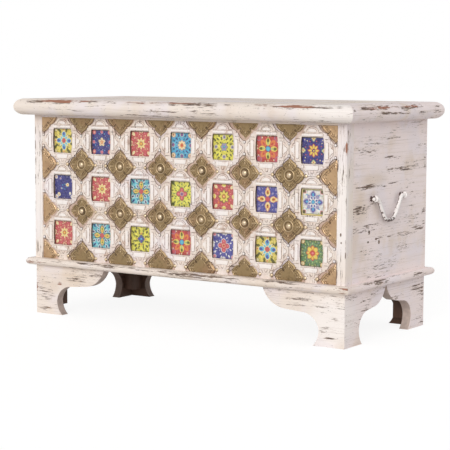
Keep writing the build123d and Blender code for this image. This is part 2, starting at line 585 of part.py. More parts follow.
with BuildPart() as medallion:
    with BuildSketch(front_plane(PANEL_SETBACK)):
        add(medallion_outline.sketch)
        add(medallion_window.sketch, mode=Mode.SUBTRACT)
        tack_up = PITCH_Z / 2 - POINT_TACK_REACH
        with Locations(*[(x * PITCH_X / 2, z * tack_up) for x in (-1, 1) for z in (-1, 1)]):
            Circle(TACK_SHANK_RADIUS, mode=Mode.SUBTRACT)
    extrude(amount=PANEL_SETBACK - GROUND)
    with BuildSketch(front_plane(GROUND)):
        with Locations((0, HALF_WINDOW + 4.5), (0, -HALF_WINDOW - 4.5)):
            Rectangle(50, 5)
        with Locations((0, HALF_WINDOW + 13), (0, -HALF_WINDOW - 13)):
            Rectangle(26, 6)
        with Locations((HALF_WINDOW + 8, 0), (-HALF_WINDOW - 8, 0)):
            Rectangle(6, 40)
        with Locations((CELL_X - 9, 0), (9 - CELL_X, 0)):
            Rectangle(6, 18)
    extrude(amount=MEDALLION_STEP)

with BuildPart() as tile:
    with BuildSketch(front_plane(TILE_SETBACK + TILE_THICKNESS)):
        Rectangle(TILE_SIZE, TILE_SIZE)
    extrude(amount=TILE_THICKNESS)


def build_row(name, z):
    """Medallions and tiles of one row. The necks at the ends and the bottom reach the frame."""
    places = [(x, 0, z) for x in COLUMN_X]
    ground_y = (FRONT_Y + GROUND, FRONT_Y + PANEL_SETBACK)
    with BuildPart() as medallions:
        with Locations(*places):
            add(medallion.part)
        for side in SIDES.values():
            add_block((side * (COLUMN_X[-1] + CELL_X), side * (INNER_HALF - MEDALLION_JOINT)), ground_y,
                      (z - NECK_HALF_Z, z + NECK_HALF_Z))
            with Locations(*[(side * PLATE_X[-1], FRONT_Y, z + end * tack_up) for end in (-1, 1)]):
                Cylinder(TACK_SHANK_RADIUS, TACK_LENGTH, rotation=(90, 0, 0), mode=Mode.SUBTRACT)
        if z == ROW_Z[-1]:
            for x in COLUMN_X:
                add_block((x - NECK_HALF_X, x + NECK_HALF_X), ground_y,
                          (BODY_BOTTOM + MEDALLION_JOINT, z - CELL_Z))
    save(medallions, f"{name}_row_medallions")

    with BuildPart() as tiles:
        with Locations(*places):
            add(tile.part)
    save(tiles, f"{name}_row_tiles")


for row_name, row_z in zip(("top", "middle", "bottom"), ROW_Z):
    build_row(row_name, row_z)


# ------------------------------------------------------------------ brass plates, domes and tacks
NOTCH_INNER = 0.42           # the notch between two lobes, as shares of the reach
NOTCH_OUTER = 0.5

with BuildSketch() as plate_outline:
    with BuildLine():
        Line((0, 0), (0, PLATE_REACH))
        ThreePointArc((0, PLATE_REACH), (PLATE_REACH * 0.29, PLATE_REACH * 0.84),
                      (PLATE_REACH * NOTCH_INNER, PLATE_REACH * 0.55))
        Line((PLATE_REACH * NOTCH_INNER, PLATE_REACH * 0.55), (PLATE_REACH * NOTCH_OUTER, PLATE_REACH * 0.48))
        ThreePointArc((PLATE_REACH * NOTCH_OUTER, PLATE_REACH * 0.48), (PLATE_REACH * 0.81, PLATE_REACH * 0.29),
                      (PLATE_REACH, 0))
        Line((PLATE_REACH, 0), (0, 0))
    make_face()
    mirror(about=Plane.XZ)
    mirror(about=Plane.YZ)

with BuildPart() as plain_plate:
    with BuildSketch(front_plane(PANEL_SETBACK)):
        add(plate_outline.sketch)
    extrude(amount=PLATE_THICKNESS)
    with BuildSketch(front_plane(PLATE_FACE)):
        add(plate_outline.sketch.scale(EMBOSSED_SHARE))
    extrude(amount=PLATE_EMBOSSING)

with BuildPart() as ringed_plate:
    add(plain_plate.part)
    with BuildSketch(front_plane(PLATE_FACE - PLATE_EMBOSSING)):
        Circle(RING_RADIUS)
        Circle(RING_RADIUS - RING_WIDTH, mode=Mode.SUBTRACT)
    extrude(amount=RING_HEIGHT)
    with BuildSketch(front_plane(PANEL_SETBACK)):
        Circle(TACK_SHANK_RADIUS)
    extrude(amount=PANEL_SETBACK, mode=Mode.SUBTRACT)


def build_plates(node, plate, places):
    """Copies of a plate, trimmed to the field between the posts."""
    with BuildPart() as plates:
        with Locations(*[(x, 0, z) for x, z in places]):
            add(plate.part)
        add_block((MEDALLION_JOINT - INNER_HALF, INNER_HALF - MEDALLION_JOINT),
                  (FRONT_Y - POST_DEPTH, FRONT_Y + POST_DEPTH),
                  (BODY_BOTTOM + MEDALLION_JOINT, FIELD_TOP - MEDALLION_JOINT), Mode.INTERSECT)
    save(plates, node)


build_plates("full_brass_plates", ringed_plate, DOME_PLACES)
build_plates("top_brass_half_plates", plain_plate, [(x, EDGE_Z[0]) for x in INNER_X])
build_plates("bottom_brass_half_plates", plain_plate, [(x, EDGE_Z[-1]) for x in INNER_X])
build_plates("side_brass_half_plates", plain_plate, [(x, z) for x in EDGE_X for z in INNER_Z])
build_plates("corner_brass_plates", plain_plate, [(x, z) for x in EDGE_X for z in EDGE_Z])


def build_tacks(node, places, seat, radius, height):
    """Round-headed tacks. The flat under each head is at the seat, behind the face of the posts."""
    sphere_radius = (radius ** 2 + height ** 2) / (2 * height)
    with BuildPart() as tack:
        with Locations((0, FRONT_Y + seat - height + sphere_radius, 0)):
            Sphere(sphere_radius)
        split(bisect_by=front_plane(seat), keep=Keep.TOP)
        with BuildSketch(front_plane(TACK_LENGTH)):
            Circle(TACK_SHANK_RADIUS)
        extrude(amount=TACK_LENGTH - seat)
    with BuildPart() as tacks:
        with Locations(*[(x, 0, z) for x, z in places]):
            add(tack.part)
    save(tacks, node)


build_tacks("brass_domes", DOME_PLACES, PLATE_FACE - PLATE_EMBOSSING, DOME_RADIUS, DOME_HEIGHT)
build_tacks("brass_tacks", SIDE_TACK_PLACES, PLATE_FACE, TACK_RADIUS, TACK_HEIGHT)
build_tacks("painted_tacks", POINT_TACK_PLACES, GROUND, TACK_RADIUS, TACK_HEIGHT)
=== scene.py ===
"""Looks of the dowry chest: distressed paint, carved medallions, painted tiles, pressed brass
plates and ironwork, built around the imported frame. Everything is in metres, in the frame's own
coordinates; the tables of carving and pattern sizes below are in millimetres."""

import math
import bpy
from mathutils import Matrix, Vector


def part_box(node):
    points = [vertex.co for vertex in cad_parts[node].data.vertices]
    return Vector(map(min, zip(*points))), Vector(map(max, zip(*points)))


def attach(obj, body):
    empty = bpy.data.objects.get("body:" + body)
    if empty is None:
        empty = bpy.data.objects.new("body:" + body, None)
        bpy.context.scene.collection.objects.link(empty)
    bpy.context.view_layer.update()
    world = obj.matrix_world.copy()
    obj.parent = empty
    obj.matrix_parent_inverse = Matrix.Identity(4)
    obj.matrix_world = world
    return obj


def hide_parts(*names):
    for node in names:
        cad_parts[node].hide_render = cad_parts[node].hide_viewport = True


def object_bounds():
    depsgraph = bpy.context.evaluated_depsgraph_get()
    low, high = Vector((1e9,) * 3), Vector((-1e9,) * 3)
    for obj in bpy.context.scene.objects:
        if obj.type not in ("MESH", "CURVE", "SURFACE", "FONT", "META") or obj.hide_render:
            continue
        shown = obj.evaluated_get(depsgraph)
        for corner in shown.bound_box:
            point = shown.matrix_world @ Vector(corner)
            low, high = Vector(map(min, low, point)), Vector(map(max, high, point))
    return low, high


bl_info = {
    "name": "Dowry Chest",
    "version": (1, 0, 0),
    "blender": (4, 5, 0),
    "location": "3D View > Sidebar > Dowry Chest",
    "description": "Paint, carving, tiles, brass and ironwork of a dowry chest",
    "category": "Object",
}

import bmesh
import bpy
import numpy as np
from mathutils import Matrix, Vector
from mathutils.geometry import delaunay_2d_cdt

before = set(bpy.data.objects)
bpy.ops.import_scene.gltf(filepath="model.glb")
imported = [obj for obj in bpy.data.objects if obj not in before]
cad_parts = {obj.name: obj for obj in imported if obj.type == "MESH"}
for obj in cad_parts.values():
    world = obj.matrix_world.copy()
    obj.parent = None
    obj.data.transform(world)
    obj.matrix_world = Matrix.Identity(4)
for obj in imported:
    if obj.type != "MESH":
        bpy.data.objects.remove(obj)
CAD_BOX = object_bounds()

MM = 0.001
ROWS = ("top", "middle", "bottom")


# ------------------------------------------------------------------ places taken from the frame
def mid(low, high):
    """Middle between two corners."""
    return (low + high) / 2


FACE_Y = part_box("front_left_post")[0].y
PANEL_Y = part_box("front_panel")[0].y
FIELD_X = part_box("front_right_post")[0].x
FIELD_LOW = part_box("front_panel")[0].z
FIELD_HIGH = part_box("front_panel")[1].z
TILE_LOW, TILE_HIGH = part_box("top_row_tiles")
TILE_SIZE = TILE_HIGH.z - TILE_LOW.z
COLUMNS = 7
PITCH_X = (TILE_HIGH.x - TILE_LOW.x - TILE_SIZE) / (COLUMNS - 1)
ROW_Z = [mid(*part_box(f"{row}_row_tiles")).z for row in ROWS]
PITCH_Z = ROW_Z[0] - ROW_Z[1]
COLUMN_X = [(i - (COLUMNS - 1) / 2) * PITCH_X for i in range(COLUMNS)]
PLATE_X = [(i - COLUMNS / 2) * PITCH_X for i in range(COLUMNS + 1)]
PLATE_Z = [ROW_Z[0] + (0.5 - i) * PITCH_Z for i in range(len(ROWS) + 1)]


# ------------------------------------------------------------------ settings
def tone(red, green, blue):
    """Linear colour from the red, green and blue that a screen shows, 0 to 255."""
    return tuple(c / 3294.6 if c <= 10 else ((c / 255 + 0.055) / 1.055) ** 2.4
                 for c in (red, green, blue))


def colour_property(name, description, red, green, blue):
    """A colour that a user can change."""
    return bpy.props.FloatVectorProperty(name=name, description=description, subtype="COLOR", size=3,
                                         min=0.0, max=1.0, default=tone(red, green, blue))


def length_property(name, description, default):
    """A length that a user can change."""
    return bpy.props.FloatProperty(name=name, description=description, default=default, unit="LENGTH",
                                   precision=4)


def angle_property(name, description, degrees):
    """An angle that a user can change."""
    return bpy.props.FloatProperty(name=name, description=description, default=math.radians(degrees),
                                   unit="ROTATION")


def share_property(name, description, default):
    """A share from none to all that a user can change."""
    return bpy.props.FloatProperty(name=name, description=description, default=default, min=0.0,
                                   max=1.0, subtype="FACTOR")


class ChestPaintSettings(bpy.types.PropertyGroup):
    """Colours and wear of the painted and the bare wood."""

    front_paint: colour_property("Front paint", "Whitewash on the lid, the front and the base", 240, 227, 216)
    # The ends' copy of the whitewash: its cooler cast is painted shade on the faces that look to the sides
    # and the back.
    end_shade_cast_paint: colour_property("End paint", "Whitewash on the ends", 247, 233, 231)
    aged_paint: colour_property("Aged paint", "Yellowed whitewash", 226, 206, 186)
    cool_paint: colour_property("Cool paint", "Whitewash with a lilac cast", 238, 229, 234)
    # The cleanest whitewash; on the raised carving it also serves as a painted highlight.
    clean_and_highlight_paint: colour_property("Fresh paint", "Cleanest whitewash, on the raised carving", 252, 245, 241)
    # Greyish pink whitewash in the hollows of the carving, partly dust and partly painted shade.
    dust_and_shade_paint: colour_property("Dusty paint", "Greyish pink whitewash in the hollows", 228, 207, 196)
    thin_paint: colour_property("Thin paint", "Paint rubbed down to the undercoat", 190, 172, 160)
    worn_wood: colour_property("Worn wood", "Wood where the paint has gone", 84, 66, 56)
    pale_wood: colour_property("Pale wood", "Lighter grain of the worn wood", 138, 115, 98)
    red_wood: colour_property("Red wood", "Red-brown wood along the rubbed edges", 158, 104, 80)
    ground_wood: colour_property("Ground wood", "Wood behind the plates and medallions", 206, 176, 158)
    bare_wood: colour_property("Bare wood", "Inside of the box and the lid", 134, 96, 68)
    dark_wood: colour_property("Dark wood", "Stained inner faces of the feet", 90, 64, 50)
    cut_wood: colour_property("Cut edge", "Sawn edges of the feet", 205, 186, 176)
    wear: share_property("Wear", "How much of the paint has worn away", 0.5)


class ChestCarvingSettings(bpy.types.PropertyGroup):
    """Sizes of the carved medallions."""

    ground: length_property("Ground", "Carved ground behind the face of the posts", 0.0005)
    proud: length_property("Proud", "Raised carving in front of the face of the posts", 0.0015)
    bevel: length_property("Bevel", "Rounded edge of the raised carving", 0.0006)
    groove_width: length_property("Groove width", "Width of the carved lines", 0.0019)
    groove_depth: length_property("Groove depth", "Depth of the carved lines", 0.0013)
    wobble: length_property("Wobble", "How far the carver's knife strays", 0.00025)


class ChestBrassSettings(bpy.types.PropertyGroup):
    """Sizes and colours of the pressed brass."""

    embossing: length_property("Embossing", "Height of the pressed lobes over the sheet", 0.0015)
    ring_radius: length_property("Ring radius", "Middle of the pressed ring", 0.0115)
    dome_radius: length_property("Dome radius", "Radius of the dome in the middle", 0.007)
    tack_radius: length_property("Tack radius", "Radius of the round tack heads", 0.0045)
    brass: colour_property("Brass", "Aged brass", 150, 127, 92)
    gold_brass: colour_property("Gold brass", "Brighter brass of the plates along the posts", 188, 156, 120)
    bright_brass: colour_property("Bright brass", "Polished domes and tacks", 206, 184, 154)
    # Dark brass also darkens the seats of domes and heads, as painted shade.
    dark_brass: colour_property("Dark brass", "Patina in the creases", 78, 60, 42)
    pink_brass: colour_property("Pink brass", "Coppery patches", 162, 126, 98)


class ChestGlazeSettings(bpy.types.PropertyGroup):
    """Glaze colours of the painted tiles."""

    cobalt: colour_property("Cobalt", "Deep blue", 36, 40, 122)
    violet: colour_property("Violet", "Violet blue", 72, 76, 158)
    sky: colour_property("Sky", "Sky blue", 84, 178, 214)
    turquoise: colour_property("Turquoise", "Turquoise", 104, 196, 208)
    red: colour_property("Red", "Red", 196, 66, 62)
    rose: colour_property("Rose", "Rose red", 198, 84, 90)
    pink: colour_property("Pink", "Pink", 226, 128, 140)
    orange: colour_property("Orange", "Orange", 224, 132, 66)
    yellow: colour_property("Yellow", "Yellow", 234, 214, 98)
    lime: colour_property("Lime", "Lime yellow", 234, 227, 88)
    cream: colour_property("Cream", "Cream", 244, 228, 176)
    white: colour_property("White", "White", 238, 236, 230)
    green: colour_property("Green", "Leaf green", 88, 132, 82)
    leaf: colour_property("Leaf", "Light green", 176, 198, 124)
    olive: colour_property("Olive", "Dark olive", 78, 84, 34)
    ink: colour_property("Ink", "Dark blue line", 28, 44, 104)
    lavender: colour_property("Lavender", "Grey lavender", 158, 152, 186)
    grout: colour_property("Grout", "Whitewash smeared over the rims of the tiles", 206, 182, 172)


class ChestIronSettings(bpy.types.PropertyGroup):
    """Colours of the ironwork."""

    paint: colour_property("Paint", "Whitewash on the handles", 246, 240, 237)
    iron: colour_property("Iron", "Dark iron where the paint has gone", 92, 72, 68)
    steel: colour_property("Steel", "Hinges, screws and nuts", 132, 130, 126)


class ChestStageSettings(bpy.types.PropertyGroup):
    """Camera, lamps and floor."""

    focal_length: bpy.props.FloatProperty(name="Focal length", description="Lens on a 36 mm wide frame",
                                          default=121.404, unit="CAMERA")
    place: bpy.props.FloatVectorProperty(name="Place", description="Where the camera stands",
                                         default=(1.96057, -2.95010, 0.59631), subtype="XYZ", unit="LENGTH")
    turn: angle_property("Turn", "Turn of the camera to the left of the chest's own Y", 33.571)
    tilt: angle_property("Tilt", "How far the camera looks down", 6.0135)
    roll: angle_property("Roll", "Roll of the camera to the right", 0.257)
    sun: bpy.props.FloatProperty(name="Sun", description="Strength of the large soft lamp", default=1.6,
                                 min=0.0)
    sky: share_property("Sky", "Strength of the even light from all round", 0.7)
    floor: colour_property("Floor", "Pale floor", 216, 214, 211)

# ------------------------------------------------------------------ node trees and materials
def opaque(value):
    """A plain colour with the fourth number that a colour socket needs."""
    return (*value, 1.0) if hasattr(value, "__len__") and len(value) == 3 else value


def total(wires):
    """Sum of wires, or 0."""
    return sum(wires[1:], wires[0]) if wires else 0.0


class Wire:
    """A node's output, with the operators that shader maths is written in."""

    def __init__(self, graph, socket):
        self.graph, self.socket = graph, socket

    def maths(self, operation, *values):
        return self.graph.node("ShaderNodeMath", {"operation": operation}, dict(enumerate(values)))

    def __add__(self, other):
        return self.maths("ADD", self, other)

    def __radd__(self, other):
        return self.maths("ADD", other, self)

    def __sub__(self, other):
        return self.maths("SUBTRACT", self, other)

    def __rsub__(self, other):
        return self.maths("SUBTRACT", other, self)

    def __mul__(self, other):
        return self.maths("MULTIPLY", self, other)

    def __rmul__(self, other):
        return self.maths("MULTIPLY", other, self)

    def __truediv__(self, other):
        return self.maths("DIVIDE", self, other)

    def __rtruediv__(self, other):
        return self.maths("DIVIDE", other, self)

    def __pow__(self, other):
        return self.maths("POWER", self, other)

    def __abs__(self):
        return self.maths("ABSOLUTE", self)

    def most(self, other):
        return self.maths("MAXIMUM", self, other)

    def rise(self, low, high):
        """0 up to low, 1 from high on, and a smooth step between."""
        return self.graph.node("ShaderNodeMapRange", {"interpolation_type": "SMOOTHSTEP"},
                               {0: self, 1: low, 2: high, 3: 0.0, 4: 1.0})

    def beside(self, output):
        """Another output of the same node."""
        return Wire(self.graph, self.socket.node.outputs[output])


class Graph:
    """A node tree in the making."""

    def __init__(self, tree):
        self.tree = tree
        tree.nodes.clear()

    def node(self, kind, settings=None, values=None, output=0):
        """Add a node: its settings first, then its inputs, each a value or a wire."""
        made = self.tree.nodes.new(kind)
        for key, value in (settings or {}).items():
            setattr(made, key, value)
        for key, value in (values or {}).items():
            if isinstance(value, Wire):
                self.tree.links.new(value.socket, made.inputs[key])
            else:
                made.inputs[key].default_value = value
        return Wire(self, made.outputs[output])

    def vector(self, operation, *values, output=0):
        """Vector arithmetic."""
        return self.node("ShaderNodeVectorMath", {"operation": operation}, dict(enumerate(values)), output)

    def end(self, kind, **wires):
        """Add the node that closes the tree."""
        made = self.tree.nodes.new(kind)
        for key, wire in wires.items():
            self.tree.links.new(wire.socket, made.inputs[key])


class Finish(Graph):
    """A material in the making. Lengths in it are in millimetres."""

    def __init__(self, name):
        self.material = bpy.data.materials.new(name)
        self.material.use_nodes = True
        super().__init__(self.material.node_tree)
        self.known = {}

    def once(self, key, make):
        """A wire that many others use, made the first time it is asked for."""
        if key not in self.known:
            self.known[key] = make()
        return self.known[key]

    @property
    def place(self):
        """Where a point is on the chest."""
        return self.once("place", lambda: self.vector(
            "MULTIPLY", self.node("ShaderNodeTexCoord", output="Object"), (1 / MM,) * 3))

    def axis(self, index):
        """One coordinate of the place."""
        return self.once(("axis", index), lambda: self.node(
            "ShaderNodeSeparateXYZ", None, {0: self.place}, index))

    def attribute(self, name):
        """A number that the piece's points carry."""
        return self.once(("attribute", name), lambda: self.node(
            "ShaderNodeAttribute", {"attribute_name": name}, output="Fac"))

    def noise(self, size, detail=3.0, roughness=0.5, shift=0.0, distortion=0.0):
        """Cloudy noise with features of one size, or of one size along each axis."""
        sizes = size if hasattr(size, "__len__") else (size,) * 3
        spread = self.vector("MULTIPLY_ADD", self.place, tuple(1 / s for s in sizes),
                             (shift, shift * 0.7, shift * 1.3))
        return self.node("ShaderNodeTexNoise", None, {"Vector": spread, "Scale": 1.0, "Detail": detail,
                                                      "Roughness": roughness, "Distortion": distortion})

    def grained(self, grain, length, width, *noise):
        """Noise whose features run along one axis."""
        return self.noise([length if index == grain else width for index in range(3)], *noise)

    def mix(self, first, second, share):
        """Colour between two others."""
        return self.node("ShaderNodeMix", {"data_type": "RGBA"},
                         {0: share, 6: opaque(first), 7: opaque(second)}, 2)

    def blot(self, centre, radii):
        """1 in the middle of a soft ellipsoid, 0 outside it."""
        away = self.vector("MULTIPLY", self.vector("SUBTRACT", self.place, centre),
                           tuple(1 / r for r in radii))
        return 1 - self.vector("LENGTH", away, output="Value").rise(0.25, 1.0)

    def edge(self, across, width):
        """1 on a long edge, 0 past the width. across gives its place on two axes; |x| counts on the first."""
        squares = [((abs(self.axis(index)) if index == 0 else self.axis(index)) - value) ** 2.0
                   for index, value in across.items()]
        return 1 - (total(squares) ** 0.5).rise(0.0, width)

    def shade(self, colour, rough, relief, depth, **fixed):
        """Close the material with its shader. fixed holds what is the same all over."""
        normal = self.node("ShaderNodeBump", None,
                           {"Strength": 1.0, "Distance": depth * MM, "Height": relief})
        shader = self.node("ShaderNodeBsdfPrincipled", None, {
            "Base Color": opaque(colour), "Roughness": rough, "Normal": normal,
            "Specular IOR Level": 0.35, **fixed})
        self.end("ShaderNodeOutputMaterial", Surface=shader)
        return self.material


# Levels of wear between which the paint turns to bare wood, to thin paint and to specks of wood.
BARE, THIN, SPECKED = (0.662, 0.684), (0.61, 0.672), (0.75, 0.78)


def worn_paint(finish, paint_colour, grain, seed, amount=0.0, rubs=(), red_rubs=(), edges=(), clean=(),
               stains=()):
    """Distressed whitewash over dark wood: colour, roughness and relief as wires."""
    paint = bpy.context.scene.chest_paint
    fibre = finish.grained(grain, 84.0, 3.4, 6.0, 0.7, seed)
    fine = finish.grained(grain, 18.0, 1.8, 3.0, 0.65, seed + 11.0)
    patch = finish.grained(grain, 130.0, 42.0, 3.0, 0.6, seed + 5.0)
    broken = finish.grained(grain, 70.0, 8.0, 3.0, 0.65, seed + 8.0).rise(0.36, 0.6)
    lumps = finish.noise(38.0, 2.0, 0.6, seed + 14.0).rise(0.4, 0.6)
    rubbed = total([finish.blot(centre, radii) * (broken * strength) for centre, radii, strength in rubs]
                   + [finish.edge(across, width) * (lumps * strength) for across, width, strength in edges])
    red = total([finish.blot(centre, radii) * (broken * (strength * 0.6) + strength * 0.4)
                 for centre, radii, strength in red_rubs])
    level = (fibre * 0.56 + fine * 0.44 + patch.rise(0.4, 0.66) * 0.1 + (rubbed + red) * 0.17
             + (amount + (paint.wear - 0.5) * 0.12))
    worn, thin = level.rise(*BARE), level.rise(*THIN)
    specks = finish.grained(grain, 6.0, 1.7, 1.0, 0.5, seed + 23.0) + (level - 0.5) * 0.6
    hairs = finish.grained(grain, 170.0, 1.7, 3.0, 0.6, seed + 53.0).rise(0.58, 0.66)
    bands = finish.grained(grain, 260.0, 9.0, 3.0, 0.55, seed + 31.0)
    aged = finish.noise((70.0, 70.0, 90.0), 3.0, 0.55, seed + 37.0)
    cool = finish.noise(110.0, 2.0, 0.55, seed + 39.0)
    colour = finish.mix(paint_colour, paint.cool_paint, cool.rise(0.46, 0.66) * 0.7)
    colour = finish.mix(colour, paint.aged_paint, aged.rise(0.5, 0.76) * 0.55 + bands.rise(0.45, 0.8) * 0.25)
    for places, tint, share in ((clean, paint.clean_and_highlight_paint, 0.8), (stains, paint.aged_paint, 0.6)):
        for centre, radii in places:
            colour = finish.mix(colour, tint, finish.blot(centre, radii) * share)
    colour = finish.mix(colour, paint.thin_paint, thin.most(hairs * 0.7) * 0.6)
    pale = finish.grained(grain, 40.0, 2.0, 3.0, 0.6, seed + 41.0).rise(0.42, 0.62)
    wood = finish.mix(paint.worn_wood, paint.pale_wood, pale)
    if red_rubs:
        wood = finish.mix(wood, paint.red_wood, red.rise(0.02, 0.3))
    gone = worn.most(specks.rise(*SPECKED) * 0.75) * 0.92
    colour = finish.mix(colour, wood, gone)
    brush = finish.grained(grain, 60.0, 1.2, 3.0, 0.6, seed + 47.0)
    relief = (1 - gone) * 0.7 + brush * 0.35 + fibre * 0.25
    rough = gone * 0.2 + brush * 0.12 + 0.58
    return colour, rough, relief


def stained_wood(finish, wood_colour, grain, seed, contrast=0.45):
    """Bare or stained wood with its grain: colour, roughness and relief as wires."""
    rings = finish.grained(grain, 300.0, 14.0, 4.0, 0.6, seed + 3.0, 0.4)
    pores = finish.grained(grain, 18.0, 0.9, 3.0, 0.6, seed + 7.0)
    dark = tuple(c * (1 - contrast) for c in wood_colour)
    colour = finish.mix(wood_colour, dark, rings.rise(0.4, 0.68) * 0.7 + pores.rise(0.55, 0.7) * 0.45)
    return colour, pores * 0.25 + 0.5, rings * 0.3 + (1 - pores.rise(0.52, 0.66)) * 0.5


def blend_surface(finish, first, second, share):
    """Mix two colour, roughness and relief triples."""
    return (finish.mix(first[0], second[0], share), first[1] + (second[1] - first[1]) * share,
            first[2] + (second[2] - first[2]) * share)


def woodwork(name, grain, seed, end=False, inside=None, **worn):
    """Painted wood of one piece. inside(finish) tells where it is bare instead. end picks the ends' copy of
    the whitewash, whose cooler cast is painted shade.
    """
    paint = bpy.context.scene.chest_paint
    finish = Finish(name)
    surface = worn_paint(finish, paint.end_shade_cast_paint if end else paint.front_paint, grain, seed, **worn)
    if inside is not None:
        bare = stained_wood(finish, paint.bare_wood, grain, seed)
        surface = blend_surface(finish, surface, bare, inside(finish))
    return finish.shade(*surface, 0.35)


def unpainted(name, wood_colour, grain, seed):
    """Wood of one piece that was never painted."""
    finish = Finish(name)
    return finish.shade(*stained_wood(finish, wood_colour, grain, seed), 0.3)


def dress(material, *nodes):
    """Give nodes of the frame their material."""
    for node in nodes:
        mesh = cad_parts[node].data
        mesh.materials.clear()
        mesh.materials.append(material)
        for polygon in mesh.polygons:
            polygon.material_index = 0


# ------------------------------------------------------------------ mesh helpers
def mesh_object(name, points, faces, numbers=None):
    """A new object from points and faces. numbers holds values for each point."""
    mesh = bpy.data.meshes.new(name)
    mesh.from_pydata([tuple(p) for p in points], [], [tuple(f) for f in faces])
    for key, values in (numbers or {}).items():
        mesh.attributes.new(key, "FLOAT", "POINT").data.foreach_set("value", np.asarray(values, np.float32))
    made = bpy.data.objects.new(name, mesh)
    bpy.context.scene.collection.objects.link(made)
    return made


def fan(centre, first, count):
    """Triangles between a point and the ring round it."""
    return [(centre, first + (i + 1) % count, first + i) for i in range(count)]


def band(inner, outer, count):
    """Quads between two rings of points."""
    return [(inner + i, inner + (i + 1) % count, outer + (i + 1) % count, outer + i) for i in range(count)]


def tidy_mesh(mesh, merge=1e-6):
    """Merge doubles, drop loose points and turn the faces outwards."""
    work = bmesh.new()
    work.from_mesh(mesh)
    bmesh.ops.remove_doubles(work, verts=work.verts, dist=merge)
    bmesh.ops.delete(work, geom=[v for v in work.verts if not v.link_faces], context="VERTS")
    bmesh.ops.recalc_face_normals(work, faces=work.faces)
    work.to_mesh(mesh)
    work.free()


# Angles in degrees above which an edge stays crisp.
CARVING_CREASE, PLATE_CREASE, ROUND_CREASE = 28.0, 40.0, 50.0


def smooth(mesh, angle):
    """Smooth shading with crisp edges above an angle."""
    mesh.polygons.foreach_set("use_smooth", [True] * len(mesh.polygons))
    mesh.set_sharp_from_angle(angle=math.radians(angle))


def repeating_tree():
    """Tree that sets a piece on every point of its mesh, a little turned and sized at random."""
    name = "repeat_piece"
    if name in bpy.data.node_groups:
        return bpy.data.node_groups[name]
    tree = bpy.data.node_groups.new(name, "GeometryNodeTree")
    tree.is_modifier = True
    for label, kind in (("Geometry", "Geometry"), ("Piece", "Object"), ("Turn", "Float"),
                        ("Size spread", "Float"), ("Wobble", "Float"), ("Wobble size", "Float"),
                        ("Seed", "Int"), ("Material", "Material")):
        tree.interface.new_socket(label, in_out="INPUT", socket_type="NodeSocket" + kind)
    tree.interface.new_socket("Geometry", in_out="OUTPUT", socket_type="NodeSocketGeometry")
    graph = Graph(tree)
    points = graph.node("NodeGroupInput", output="Geometry")
    turn, spread = points.beside("Turn"), points.beside("Size spread")

    def between(low, high):
        """A random number for each piece."""
        return graph.node("FunctionNodeRandomValue", {"data_type": "FLOAT"},
                          {2: low, 3: high, "Seed": points.beside("Seed")}, 1)

    piece = graph.node("GeometryNodeObjectInfo", {"transform_space": "ORIGINAL"},
                       {"Object": points.beside("Piece")}, "Geometry")
    placed = graph.node("GeometryNodeInstanceOnPoints", None, {"Points": points, "Instance": piece})
    about_y = graph.node("ShaderNodeCombineXYZ", None, {"Y": between(turn * -1.0, turn)})
    rotation = graph.node("FunctionNodeEulerToRotation", None, {0: about_y})
    turned = graph.node("GeometryNodeRotateInstances", None, {"Instances": placed, "Rotation": rotation})
    sized = graph.node("GeometryNodeScaleInstances", None,
                       {"Instances": turned, "Scale": between(1 - spread, 1 + spread)})
    real = graph.node("GeometryNodeRealizeInstances", None, {"Geometry": sized})
    clouds = graph.node("ShaderNodeTexNoise", None, {"Vector": graph.node("GeometryNodeInputPosition"),
                                                     "Scale": 1 / points.beside("Wobble size")}, "Color")
    strayed = graph.node("ShaderNodeVectorMath", {"operation": "SCALE"}, {
        0: graph.vector("SUBTRACT", clouds, (0.5, 0.5, 0.5)), "Scale": points.beside("Wobble")})
    moved = graph.node("GeometryNodeSetPosition", None, {"Geometry": real, "Offset": strayed})
    dressed = graph.node("GeometryNodeSetMaterial", None,
                         {"Geometry": moved, "Material": points.beside("Material")})
    graph.end("NodeGroupOutput", Geometry=dressed)
    return tree


def repeat(name, piece, places, material, turn=0.0, spread=0.0, wobble=0.0, wobble_size=0.02, seed=1):
    """One plain mesh with the piece at every place. The piece itself is used up."""
    carrier = mesh_object(name + "_places", places, [])
    modifier = carrier.modifiers.new("repeat", "NODES")
    modifier.node_group = repeating_tree()
    keys = {item.name: item.identifier for item in modifier.node_group.interface.items_tree
            if item.in_out == "INPUT"}
    for label, value in {"Piece": piece, "Turn": turn, "Size spread": spread, "Wobble": wobble,
                         "Wobble size": wobble_size, "Seed": seed, "Material": material}.items():
        modifier[keys[label]] = value
    bpy.context.view_layer.update()
    depsgraph = bpy.context.evaluated_depsgraph_get()
    mesh = bpy.data.meshes.new_from_object(carrier.evaluated_get(depsgraph), preserve_all_data_layers=True,
                                           depsgraph=depsgraph)
    mesh.name = name
    carrier.modifiers.remove(modifier)
    bpy.data.objects.remove(carrier)
    bpy.data.objects.remove(piece)
    if not mesh.polygons:
        raise RuntimeError(f"{name} came out empty")
    mesh.materials.clear()
    mesh.materials.append(material)
    made = bpy.data.objects.new(name, mesh)
    bpy.context.scene.collection.objects.link(made)
    return made


def settle(piece, body, slot, *nodes):
    """Hand a finished piece to the frame."""
    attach(piece, body)
    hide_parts(*nodes)


